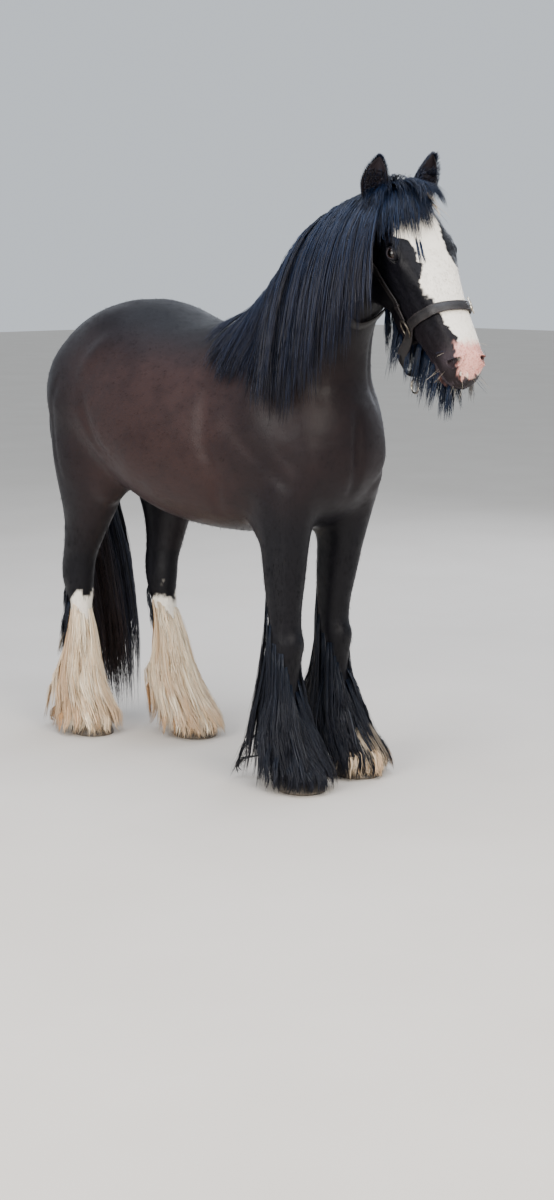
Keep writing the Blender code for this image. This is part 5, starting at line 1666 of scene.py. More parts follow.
@dataclass
class Hair:
    """Long hair that is rooted in the skin and lies on it."""

    flesh: Flesh
    material: Material

    def rooted(self, origin: Vector, toward: Vector, heading: Vector, length: float,
               lift: float, pull: float, down: Vector = DOWN) -> tuple[Array, Array]:
        """The middle line of a lock, from the place where a ray meets the skin.

        Args:
            origin: where the ray starts.
            toward: the way it goes.
            heading: the way the lock leaves the skin.
            length: its length.
            lift: its height over the skin.
            pull: how fast it bends down.
            down: the way it hangs.

        Returns:
            Places, and directions off the lie of the hair.
        """
        surface = self.flesh.surface
        top, normal = surface.hit(origin, toward)
        path = falling(top, heading, length, surface, lift, pull, LOCK_PARTS, down)
        path[0] = top - normal * ROOT_DEPTH
        return path, off_surface(path, surface, normal)

    def tufted(self, locks: list[tuple], spreads: tuple[Spread, ...],
               rng: np.random.Generator, lift: float = LONG_CLEAR) -> Tufts:
        """Strands round some locks.

        Args:
            locks: for each its places, directions and colour.
            spreads: the ways in which strands lie round every lock.
            rng: source of the chances.
            lift: the strands' least height over the skin.

        Returns:
            The tufts.
        """
        tufts = Tufts(self.flesh.head)
        for spread in spreads:
            tufts.lock(stacked(locks), spread, self.flesh.surface, lift, rng)
        return tufts

    def show(self, name: str, tufts: Tufts, rng: np.random.Generator, slot: Slot = Slot.LONG,
             *nodes: str) -> None:
        """Places tufts in the scene as one piece."""
        show(name, tufts.mesh(name, rng), self.material, slot, *nodes)


@dataclass
class Mane(Hair):
    """Long hair from the crest down the right side of the neck, and over the cheek."""

    guides: int = 88
    from_x: float = 0.640
    to_x: float = 0.105
    length: float = 0.60
    shorter_behind: float = 0.44
    pull: float = 0.36
    full_x: float = 0.46
    fuller: float = 0.10
    # How far to the left of the crest, rise as it leaves, height over the skin
    rows: tuple = ((-0.016, 0.0, 0.005), (-0.004, 0.10, 0.012), (0.012, 0.22, 0.020))
    spread: Spread = Spread(24, 0.010, 0.017, 0.007, 0.007, 0.005, 1.8, 0.66, 0.0015, 0.0008)
    stray: Spread = Spread(12, 0.016, 0.030, 0.030, 0.010, 0.010, 1.2, 0.60, 0.0009, 0.0006)
    cheek_guides: int = 32
    cheek_from: Vector = Vector((0.630, -0.036, ABOVE))
    cheek_to: Vector = Vector((0.560, -0.050, ABOVE))
    cheek_length: float = 0.40
    left_guides: int = 34
    left_aside: float = -0.004
    colour: tuple = (0.0, 0.0, 0.25)

    def above_crest(self, x: float, aside: float) -> Vector:
        """A place above the crest, this far ahead and to the left of it."""
        line = smoothed(np.array(self.flesh.neck), 6)
        return Vector((x, float(np.interp(x, line[:, 0], line[:, 4])) + aside, ABOVE))

    def fall(self, rng: np.random.Generator) -> list[tuple]:
        """Locks on the right side of the neck.

        Args:
            rng: source of the chances.

        Returns:
            For each its places, directions and colour.
        """
        locks = []
        for aside, rise, lift in self.rows:
            for k in range(self.guides):
                share = (k + rng.uniform(0, 1)) / self.guides
                x = self.from_x + (self.to_x - self.from_x) * share
                length = self.length * (0.70 + 0.44 * math.sin(math.pi * (0.12 + 0.75 * share)))
                length *= 1 - self.shorter_behind * max(0.0, (share - 0.45) / 0.55)
                heading = Vector((rng.uniform(-0.12, 0.10), -1.0, rise))
                height = lift * rng.uniform(0.7, 1.3) + self.fuller * max(x - self.full_x, 0)
                path, off = self.rooted(self.above_crest(x, aside), DOWN, heading,
                                        length * rng.uniform(0.84, 1.08), height,
                                        self.pull * rng.uniform(0.9, 1.2))
                locks.append((path, off, self.colour))
        return locks

    def aside(self, rng: np.random.Generator) -> list[tuple]:
        """Locks over the cheek, and the few that fall on the left side.

        Args:
            rng: source of the chances.

        Returns:
            For each its places, directions and colour.
        """
        locks = []
        for k in range(self.cheek_guides):
            start = self.cheek_from.lerp(self.cheek_to, (k + 0.5) / self.cheek_guides)
            down = Vector((0.04 + 0.12 * rng.random(), 0, -1))
            path, off = self.rooted(start, DOWN, Vector((0.22, -0.8, 0)),
                                    self.cheek_length * rng.uniform(0.8, 1.15),
                                    0.008 + 0.014 * rng.random(), 0.30, down)
            locks.append((path, off, self.colour))
        for k in range(self.left_guides):
            x = self.from_x + (self.to_x - self.from_x) * (k + rng.random()) / self.left_guides
            path, off = self.rooted(self.above_crest(x, self.left_aside), DOWN,
                                    Vector((rng.uniform(-0.7, 0.2), 0.8, 0.1)),
                                    rng.uniform(0.07, 0.26), rng.uniform(0.003, 0.010), 0.25)
            locks.append((path, off, self.colour))
        return locks

    def build(self) -> None:
        """The mane as four pieces."""
        rng = np.random.default_rng(SEED)
        locks = self.fall(rng)
        for number in range(3):
            row = locks[number * self.guides:(number + 1) * self.guides]
            tufts = self.tufted(row, (self.spread,), rng)
            if number == 2:
                tufts.lock(stacked(row[::2]), self.stray, self.flesh.surface, LONG_CLEAR, rng)
            self.show(f"mane_{number + 1}", tufts, rng)
        tufts = self.tufted(self.aside(rng), (self.spread,), rng)
        self.show("mane_cheek", tufts, rng)


@dataclass
class Forelock(Hair):
    """Hair from the poll: a mop between the ears and locks down the forehead.

    It is parted, so that the right side hangs to the eye and the left shows the blaze.
    """

    guides: int = 46
    mop_guides: int = 34
    right_length: float = 0.245
    left_length: float = 0.135
    half_width: float = 0.052
    pale_from: float = 0.86
    spread: Spread = Spread(25, 0.010, 0.014, 0.006, 0.007, 0.006, 1.5, 0.45, 0.0012, 0.0007)
    wisps: Spread = Spread(5, 0.012, 0.026, 0.034, 0.012, 0.014, 1.0, 0.45, 0.0007, 0.0005)

    def over_poll(self, s: float, share: float) -> Vector:
        """A place off the poll, from share -1 at its right to 1 at its left."""
        head = self.flesh.head
        return head.on(s, 0.03, share * self.half_width) - head.back * 0.2

    def build(self) -> None:
        """The forelock as one piece."""
        rng = np.random.default_rng(SEED + FORELOCK)
        head = self.flesh.head
        locks = []
        for k in range(self.guides):
            share = (k + 0.5) / self.guides * 2 - 1
            right = 0.5 - 0.5 * share
            length = self.left_length + (self.right_length - self.left_length) * right ** 0.8
            length *= rng.uniform(0.62, 1.10)
            aside = share * 0.35 - 0.22
            heading = (head.down * 0.50 - head.back * 0.66 + head.left * aside).normalized()
            path, off = self.rooted(self.over_poll(rng.uniform(-0.022, 0.024), share), head.back,
                                    heading, length, rng.uniform(0.006, 0.026), 0.22)
            locks.append((path, off, (0.85 if share > self.pale_from else 0.0, 0.0, 0.1)))
        for _ in range(self.mop_guides):
            share = rng.uniform(-1.05, 0.85)
            heading = (-head.back * 0.85 - head.down * 0.25
                       + head.left * (share * 0.5 + rng.uniform(-0.4, 0.3))).normalized()
            path, off = self.rooted(self.over_poll(rng.uniform(-0.038, 0.006), share), head.back,
                                    heading, rng.uniform(0.10, 0.17), rng.uniform(0.020, 0.040),
                                    0.26)
            locks.append((path, off, (0.0, 0.0, 0.1)))
        self.show("forelock", self.tufted(locks, (self.spread, self.wisps), rng), rng)


@dataclass
class Beard(Hair):
    """Hair that hangs under the jaw and chin, and the feelers of the muzzle."""

    guides: int = 80
    from_s: float = 0.17
    to_s: float = 0.565
    length: float = 0.130
    shorter: float = 0.45
    steps: int = 5
    spread: Spread = Spread(28, 0.009, 0.014, 0.007, 0.004, 0.006, 1.2, 0.45, 0.0010, 0.0006)
    feelers: int = 46
    feeler_length: float = 0.045
    feeler_half: float = 0.0005
    feeler_thick: float = 0.0004

    def build(self) -> None:
        """The beard and feelers as one piece."""
        rng = np.random.default_rng(SEED + BEARD)
        head, surface = self.flesh.head, self.flesh.surface
        locks = []
        for k in range(self.guides):
            share = k / (self.guides - 1)
            s = self.from_s + (self.to_s - self.from_s) * share
            root = head.on(s, OUTSIDE, rng.uniform(0.0, 0.042) * (-1) ** k)
            place, normal = surface.hit(root, -head.back)
            length = self.length * (1 - self.shorter * max(0, share - 0.6) / 0.4)
            length *= rng.uniform(0.75, 1.1)
            path = [place - normal * 0.004]
            for i in range(1, self.steps + 1):
                step = length * i / self.steps
                sag = Vector((0.0, 0.0, -0.95 * step)) + head.down * (0.10 * step)
                path.append(place + normal * 0.30 * step + sag)
            pale = 0.15 if share > 0.90 and k % 6 == 0 else 0.0
            locks.append((np.array(path), np.array([head.left * (-1) ** k] * len(path)),
                          (pale, 0.0, 0.0)))
        tufts = self.tufted(locks, (self.spread,), rng, FINE_CLEAR)
        self.feel(tufts, rng)
        self.show("beard", tufts, rng)

    def feel(self, tufts: Tufts, rng: np.random.Generator) -> None:
        """Adds the stiff hairs of lips and chin.

        Args:
            tufts: what gets them.
            rng: source of the chances.
        """
        head = self.flesh.head
        paths, colours = [], []
        for _ in range(self.feelers):
            place = head.on(rng.uniform(0.50, 0.62), rng.uniform(0.02, 0.17),
                            rng.uniform(-0.06, 0.06))
            near, normal, _, _ = self.flesh.surface.tree.find_nearest(place)
            length = self.feeler_length * rng.uniform(0.5, 1.2)
            away = (normal + Vector((0, 0, -0.5)) * rng.uniform(0.2, 1.0)).normalized()
            paths.append([near - normal * 0.002 + away * length * t + Vector((0, 0, -0.006)) * t * t
                          for t in np.linspace(0, 1, self.steps + 1)])
            colours.append((0.5 * float(rng.random() < 0.4), 0, 0.0))
        paths = np.array(paths)
        tufts.add(paths, np.broadcast_to(np.array(head.left), paths.shape),
                  np.full(len(paths), self.feeler_half), self.feeler_thick, np.array(colours))


@dataclass
class Feather(Hair):
    """Long hair round one lower leg, from the knee or hock down over its hoof.

    Every lock hangs inside a bell that leaves the leg at high and spreads round the hoof.
    """

    marks: Markings
    stance: Stance
    high: float
    front_high: float
    front: float
    back: float
    beside: float
    guides: int = 150
    steps: int = 5
    # Lowest root, lowest tip, and the height and half sizes of the hoof that it covers
    root_low: float = 0.085
    tip_low: float = 0.004
    hoof_z: float = 0.078
    hoof_reach: tuple[float, float] = (0.064, 0.060)
    # The dark hair above a white stocking is short
    dark_length: float = 0.11
    spread: Spread = Spread(24, 0.009, 0.015, 0.008, 0.008, 0.006, 1.7, 0.60, 0.0012, 0.0007)
    body: Spread = Spread(3, 0.008, 0.014, 0.008, 0.002, 0.005, 1.6, 0.80, 0.0052, 0.0016)
    stray: Spread = Spread(3, 0.012, 0.026, 0.030, 0.012, 0.012, 1.3, 0.5, 0.0008, 0.0005)

    def hung(self, angle: float, top: float, low: float, fill: float, wave: float,
             phase: float) -> tuple[Array, Array]:
        """One lock's middle line down the leg.

        Args:
            angle: where it is rooted, in radians from the front.
            top: height of its root.
            low: height of its tip.
            fill: how far out in the bell it hangs, from 0 to 1.
            wave: how far it sways.
            phase: where the sway starts.

        Returns:
            Places, and directions off the lie of the hair.
        """
        rows = self.stance.sections(self.flesh.leg(self.stance))
        c, s = math.cos(angle), math.sin(angle)
        reach = 1 / math.hypot(c / (self.back if c < 0 else self.front), s / self.beside)
        path, off = [], []
        for k in range(self.steps + 1):
            t = k / self.steps
            z = top + (low - top) * t
            centre, depth, half = nearest(rows, z)
            if z < self.hoof_z:
                depth, half = self.hoof_reach
            skin = 1 / math.hypot(c / depth, s / half)
            part = max(0.0, 1 - z / (self.high + 0.02))
            bell = skin + 0.010 + max(reach - skin, 0) * (0.30 * part + 0.70 * part ** 2.6)
            out = skin - 0.004 + (bell - skin) * fill * min(1.0, 3.2 * t)
            turn = angle + wave * math.sin(phase + 5.5 * t) * t
            radial = np.array((math.cos(turn), math.sin(turn), 0.0))
            path.append(np.array((centre[0], centre[1], z)) + radial * out)
            off.append(radial + np.array((0, 0, 0.25)))
        return np.array(path), unit(np.array(off))

    def build(self) -> None:
        """The feather as one piece."""
        number = 10 * self.stance.fore + self.stance.side.value
        rng = np.random.default_rng(SEED + FEATHER + number)
        locks = []
        for k in range(self.guides):
            angle = TURN * ((k * GOLDEN) % 1)
            behind = 0.5 - 0.5 * math.cos(angle)
            ceiling = self.front_high + (self.high - self.front_high) * behind ** 0.7
            share = ((k * PLASTIC) % 1) ** 0.95
            top = self.root_low + (ceiling - self.root_low) * share
            length = top - self.tip_low
            if behind <= 0.30:
                length = min(length, rng.uniform(0.16, 0.34))
            low = max(self.tip_low, top - length) + 0.04 * rng.random() ** 3 * (top > 0.16)
            hang = (rng.uniform(0.35, 1.0) ** 0.8, rng.uniform(0.06, 0.16), rng.uniform(0, TURN))
            path, off = self.hung(angle, top, low, *hang)
            white = self.marks.on_legs(path[:1])[0]
            if not self.stance.fore and white < 0.5:
                path, off = self.hung(angle, top, max(low, top - self.dark_length), *hang)
            stain = self.stained(behind, top, rng) if white > 0.5 else 0.15
            locks.append((path, off, (white, 0.0, stain)))
        tufts = self.tufted(locks, (self.body, self.spread, self.stray), rng, FINE_CLEAR)
        self.show("feather_" + self.stance.name, tufts, rng,
                  Slot.LONG if self.stance.fore else Slot.WHITE)

    def stained(self, behind: float, z: float, rng: np.random.Generator) -> float:
        """How much a white lock is stained by mud, most behind and low down."""
        share = 0.08 + 0.55 * behind + 0.40 * (1.0 - min(z / 0.40, 1.0))
        return float(np.clip(share * rng.uniform(0.0, 1.5), 0, 0.9))


@dataclass
class Tail(Hair):
    """The tail, from the dock to the floor."""

    # Height, place ahead, place aside, reach
    line: tuple = (
        (1.330, -0.790, 0.000, 0.028), (1.280, -0.842, 0.000, 0.040),
        (1.200, -0.862, 0.004, 0.050), (1.060, -0.866, 0.016, 0.064),
        (0.850, -0.846, 0.044, 0.086), (0.600, -0.815, 0.068, 0.108),
        (0.300, -0.780, 0.078, 0.112), (0.000, -0.760, 0.082, 0.096),
    )
    guides: int = 110
    top_z: float = 1.335
    root_z: float = 0.90
    steps: int = 8
    flat: float = 0.72
    inner: tuple[float, float, float] = (1.0, 0.72, 0.45)
    spread: Spread = Spread(33, 0.014, 0.022, 0.012, 0.008, 0.010, 2.2, 0.62, 0.0016, 0.0009)

    def at(self, z: float) -> tuple[Vector, float]:
        """The middle of the tail and its reach.

        Args:
            z: the height.

        Returns:
            Both at this height.
        """
        heights, *columns = np.array(self.line)[::-1].T
        x, y, reach = (float(np.interp(z, heights, column)) for column in columns)
        return Vector((x, y, z)), reach

    def build(self) -> None:
        """The tail as two pieces, which replace the solid one."""
        rng = np.random.default_rng(SEED + TAIL)
        locks = []
        for k in range(self.guides):
            share = (k + 0.5) / self.guides
            angle = math.radians(GOLDEN_TURN * k)
            top = self.top_z - (self.top_z - self.root_z) * share ** 1.3
            low = 0.006 + 0.24 * rng.random() ** 2.8
            path, off = [], []
            for t in np.arange(self.steps + 1) / self.steps:
                centre, reach = self.at(top + (low - top) * t)
                part = (0.25 + 0.75 * min(t / 0.35, 1)) * self.inner[k % 3]
                turn = angle + 0.45 * t
                radial = Vector((math.cos(turn) * self.flat, math.sin(turn), 0))
                path.append(centre + radial * reach * part)
                off.append(radial.normalized())
            locks.append((path, off, (0.0, 0.0, 1.0 if math.sin(angle) < -0.3 else 0.35)))
        for number, nodes in enumerate((("tail",), ())):
            tufts = self.tufted(locks[number::2], (self.spread,), rng)
            self.show(f"tail_hair_{number + 1}", tufts, rng, Slot.LONG, *nodes)


@dataclass
class ShortCoat:
    """Short tufts over the whole skin, along the lie of the coat."""

    flesh: Flesh
    marks: Markings
    material: Material
    trunk_tufts: int = 6000
    head_tufts: int = 8500
    leg_tufts: int = 6000
    half: float = 0.0009
    thick: float = 0.0003
    root_depth: float = 0.0008
    rise: float = 0.0012

    def lie(self, points: Array, normals: Array) -> Array:
        """The way the hair points, along the skin.

        Args:
            points: places on the skin.
            normals: the direction out of the skin at each.

        Returns:
            Unit vectors.
        """
        head = self.flesh.head
        x, _, z = points.T
        way = np.tile(np.array((-0.75, 0.0, -0.55)), (len(points), 1))
        neck = ease(x, 0.30, 0.45)[:, None]
        way = way * (1 - neck) + np.array((-0.45, 0.0, -0.9)) * neck
        leg = ease(z, 0.95, 0.70)[:, None]
        way = way * (1 - leg) + np.array((-0.15, 0.0, -1.0)) * leg
        ahead = ((head.read(points)[0] > 0.02) & (z > HEAD_LOW) & (x > 0.58))[:, None]
        way = np.where(ahead, np.array(head.down) + 0.25 * np.array(head.back), way)
        way = way + 0.12 * np.stack([ripple(points, 0.12, seed) for seed in (21, 22, 23)], axis=1)
        way -= normals * (way * normals).sum(1, keepdims=True)
        return unit(way)

    def length(self, points: Array) -> Array:
        """Length of the hair, in metres.

        Args:
            points: places on the skin.

        Returns:
            One length for each.
        """
        s, n, _ = self.flesh.head.read(points)
        z = points[:, 2]
        size = np.full(len(points), 0.0115)
        size += 0.008 * ease(z, 0.86, 0.78) * ease(z, 0.60, 0.70)
        size += 0.010 * ease(z, 0.60, 0.40)
        face = 0.0070 - 0.0030 * ease(s, 0.42, 0.52)
        jaw = 0.014 * ease(n, 0.16, 0.21) * ease(s, 0.55, 0.45)
        return np.where(self.ahead(points), face + jaw, size)

    def ahead(self, points: Array) -> Array:
        """Whether each point is on the head."""
        s = self.flesh.head.read(points)[0]
        return (s > 0.0) & (points[:, 2] > HEAD_LOW) & (points[:, 0] > 0.56)

    def build(self) -> None:
        """The short coat as three pieces: trunk, head and legs."""
        corners = self.flesh.points[self.flesh.faces]
        cross = np.cross(corners[:, 1] - corners[:, 0], corners[:, 2] - corners[:, 0])
        area = np.linalg.norm(cross, axis=1)
        middle = corners.mean(1)
        ahead, low = self.ahead(middle), middle[:, 2] < 0.72
        rng = np.random.default_rng(SEED + SHORT)
        for name, chosen, count, size in (
            ("trunk", ~ahead & ~low, self.trunk_tufts, 1.0),
            ("head", ahead, self.head_tufts, 0.75),
            ("legs", low * ease(middle[:, 2], 0.05, 0.12), self.leg_tufts, 1.0),
        ):
            weight = area * chosen
            picked = rng.choice(len(area), count, p=weight / weight.sum())
            mix = rng.dirichlet((1, 1, 1), count)
            roots = (corners[picked] * mix[..., None]).sum(1)
            normals = unit(cross[picked])
            way = self.lie(roots, normals)
            way = unit(way + rng.normal(0, 0.10, way.shape))
            long = (self.length(roots) * rng.uniform(0.7, 1.2, count))[:, None]
            lift = rng.uniform(0.06, 0.20, (count, 1))
            path = np.stack([roots - normals * self.root_depth]
                            + [roots + way * long * t + normals * (self.rise + long * lift * u)
                               for t, u in ((0.45, 0.5), (1.0, 1.0))], axis=1)
            tufts = Tufts(self.flesh.head)
            tufts.add(path, np.repeat(normals[:, None], 3, axis=1),
                      self.half * rng.uniform(0.7, 1.3, count) * size, self.thick,
                      self.marks.of(roots))
            mesh = tufts.mesh("coat_" + name, rng)
            each = 3 * (path.shape[1] - 1) + 1
            store(mesh, "bare", np.repeat(self.marks.bare(roots), each))
            # Hair that lies flat is lit as the skin below it is
            mesh.normals_split_custom_set_from_vertices(np.repeat(normals, each, axis=0).tolist())
            show("coat_" + name, mesh, self.material, Slot.COAT)


@dataclass
class Ear:
    """One cupped ear: skin over gristle, furred outside, with long hair at its opening."""

    head: Head
    side: Side
    s: float = 0.004
    n: float = 0.048
    length: float = 0.136
    bend: float = 0.010
    shell: float = 0.0038
    across: int = 30
    # Share of the length, half width, depth, half turn of the cup in degrees
    slices: tuple = (
        (-0.12, 0.022, 0.022, 150), (0.00, 0.024, 0.023, 140), (0.18, 0.032, 0.026, 122),
        (0.38, 0.036, 0.026, 108), (0.58, 0.033, 0.023, 100), (0.78, 0.023, 0.017, 95),
        (0.92, 0.012, 0.010, 92), (1.00, 0.003, 0.003, 90),
    )
    outer_hairs: int = 1500
    inner_hairs: int = 700
    # How far a hair leans to the ear's tip, off its skin and out of its opening, and its length
    outer: tuple = (1.0, 0.10, 0.0, 0.007, 0.012)
    edge: tuple = (0.9, 0.25, 0.45, 0.008, 0.018)
    inner: tuple = (0.75, -0.25, 0.55, 0.014, 0.034)

    def axes(self) -> tuple[Array, Array, Array, Array]:
        """Its base, and the directions to its tip, out of its opening and across it.

        Returns:
            The place and three unit vectors.
        """
        left_ear = self.side is Side.LEFT
        base = np.array(self.head.on(self.s, self.n, 0.066 if left_ear else -0.083))
        up = unit(np.array((0.485, -0.050, 0.848) if left_ear else (0.457, -0.243, 0.848)))
        ahead, out = (0.98, 0.12) if left_ear else (0.80, 0.50)
        facing = np.array((math.cos(self.head.yaw), math.sin(self.head.yaw), 0.0))
        opening = ahead * facing + np.array(self.head.left) * self.side.value * out
        opening = unit(opening - up * (opening @ up))
        return base, up, opening, np.cross(up, opening)

    def place(self, row: Array, angle: Array, inside: float) -> Array:
        """Points across the ear at one slice.

        Args:
            row: share of the length, half width, depth and half turn.
            angle: from -1 at one edge to 1 at the other.
            inside: how far inside the outer face.

        Returns:
            The points.
        """
        base, up, opening, across = self.axes()
        t, half, deep, spread = row
        inside = min(inside, 0.45 * half, 0.45 * deep)
        turn = np.radians(spread) * angle
        # The edges roll outward a little
        lip = 1 + 0.07 * np.abs(angle) ** 6
        centre = base + up * (self.length * t) - opening * (self.bend * t * t)
        return (centre + np.outer(np.sin(turn) * (half - inside) * lip, across)
                - np.outer(np.cos(turn) * (deep - inside), opening))

    def build(self, material: Material, hair: Material) -> None:
        """The ear and its hair.

        Args:
            material: the coat's finish.
            hair: the finish of the longer hair.
        """
        rows = smoothed(np.array(self.slices), 5)
        rows = rows[(rows[:, 0] > -0.08)]
        angle = np.linspace(-1, 1, self.across)
        rings = [np.concatenate([self.place(row, angle, 0.0),
                                 self.place(row, angle[::-1], self.shell)]) for row in rows]
        points, faces = loft(rings)
        mesh = mesh_of("ear_" + self.side.word, points, faces)
        work = bmesh.new()
        work.from_mesh(mesh)
        bmesh.ops.recalc_face_normals(work, faces=work.faces)
        work.to_mesh(mesh)
        work.free()
        store(mesh, "marks", np.zeros((len(points), 3)))
        store(mesh, "bare", np.tile(np.repeat((0.0, 0.5), self.across), len(rows)))
        show("ear_shell_" + self.side.word, mesh, material, Slot.COAT, "ear_" + self.side.word)
        self.fur(rows, hair)

    def fur(self, rows: Array, hair: Material) -> None:
        """Short hair outside, long hair from inside and a fringe along both edges.

        Args:
            rows: the ear's fine slices.
            hair: the finish.
        """
        rng = np.random.default_rng(SEED + EAR + self.side.value)
        _, up, opening, across = self.axes()
        tufts = Tufts(self.head)
        for count, kind in ((self.outer_hairs, self.outer), (self.inner_hairs, self.inner),
                            (self.inner_hairs, self.edge)):
            inside = kind is self.inner
            pick = rng.integers(0, len(rows) - 1, count)
            if inside:
                pick = (pick * 0.6).astype(int)
            angle = rng.uniform(-0.95, 0.95, count)
            if kind is self.edge:
                angle = np.sign(angle) * rng.uniform(0.93, 1.0, count)
            roots = np.array([self.place(rows[i], np.array([a]), self.shell * inside)[0]
                              for i, a in zip(pick, angle)])
            turn = np.radians(rows[pick, 3]) * angle
            away = unit(np.outer(np.sin(turn), across) - np.outer(np.cos(turn), opening))
            to_tip, off, open_way, shortest, longest = kind
            length = rng.uniform(shortest, longest, count)[:, None, None]
            way = to_tip * up + off * away + open_way * opening
            way = unit(way + rng.normal(0, 0.12, (count, 3)))
            t = np.array((-0.06, 0.5, 1.0))[None, :, None]
            paths = roots[:, None] + way[:, None] * length * t + up * (length * 0.18 * t ** 2)
            ups = np.repeat(away[:, None], 3, axis=1) * (-1.0 if inside else 1.0)
            tufts.add(paths, ups, rng.uniform(0.0006, 0.0010, count), 0.0004,
                      np.tile((0, 0, 0.2), (count, 1)))
        show("ear_hair_" + self.side.word, tufts.mesh("ear_hair", rng), hair, Slot.LONG)


@dataclass
class Hoof:
    """One hoof: a shell of horn with growth rings, a coronet above and a flat sole."""

    stance: Stance
    top_z: float = 0.0777
    sole_depth: float = 0.074
    sole_half: float = 0.068
    sole_ahead: float = 0.018
    top_depth: float = 0.055
    top_half: float = 0.053
    around: int = 64
    levels: int = 22
    growth_every: float = 0.006
    growth_deep: float = 0.00035

    def build(self, flesh: Flesh, material: Material) -> None:
        """The hoof as one piece.

        Args:
            flesh: the skin, for the leg's place.
            material: the horn's finish.
        """
        middle = nearest(self.stance.sections(flesh.leg(self.stance)), 0.078)[0]
        rings = []
        for k in range(self.levels + 1):
            share = k / self.levels
            spread = 1 - share
            growth = self.growth_deep * math.sin(TURN * share * self.top_z / self.growth_every)
            # A rounded lower edge and a soft coronet
            edge = 0.0022 * max(0.0, 1 - share * 14) ** 2 + 0.002 * max(0.0, share * 12 - 11) ** 2
            depth = self.top_depth + (self.sole_depth - self.top_depth) * spread + growth - edge
            half = self.top_half + (self.sole_half - self.top_half) * spread + growth - edge
            centre = np.array((middle[0] + self.sole_ahead * spread, middle[1],
                               self.top_z * share))
            rings.append(ring(centre, AHEAD, SIDEWAYS, depth, depth * 0.92, half, 2.1, 2.6,
                              self.around))
        mesh = mesh_of("hoof_" + self.stance.name, *loft(rings), flat_ends=True)
        show("hoof_wall_" + self.stance.name, mesh, material, Slot.HORN,
             "hoof_" + self.stance.name)


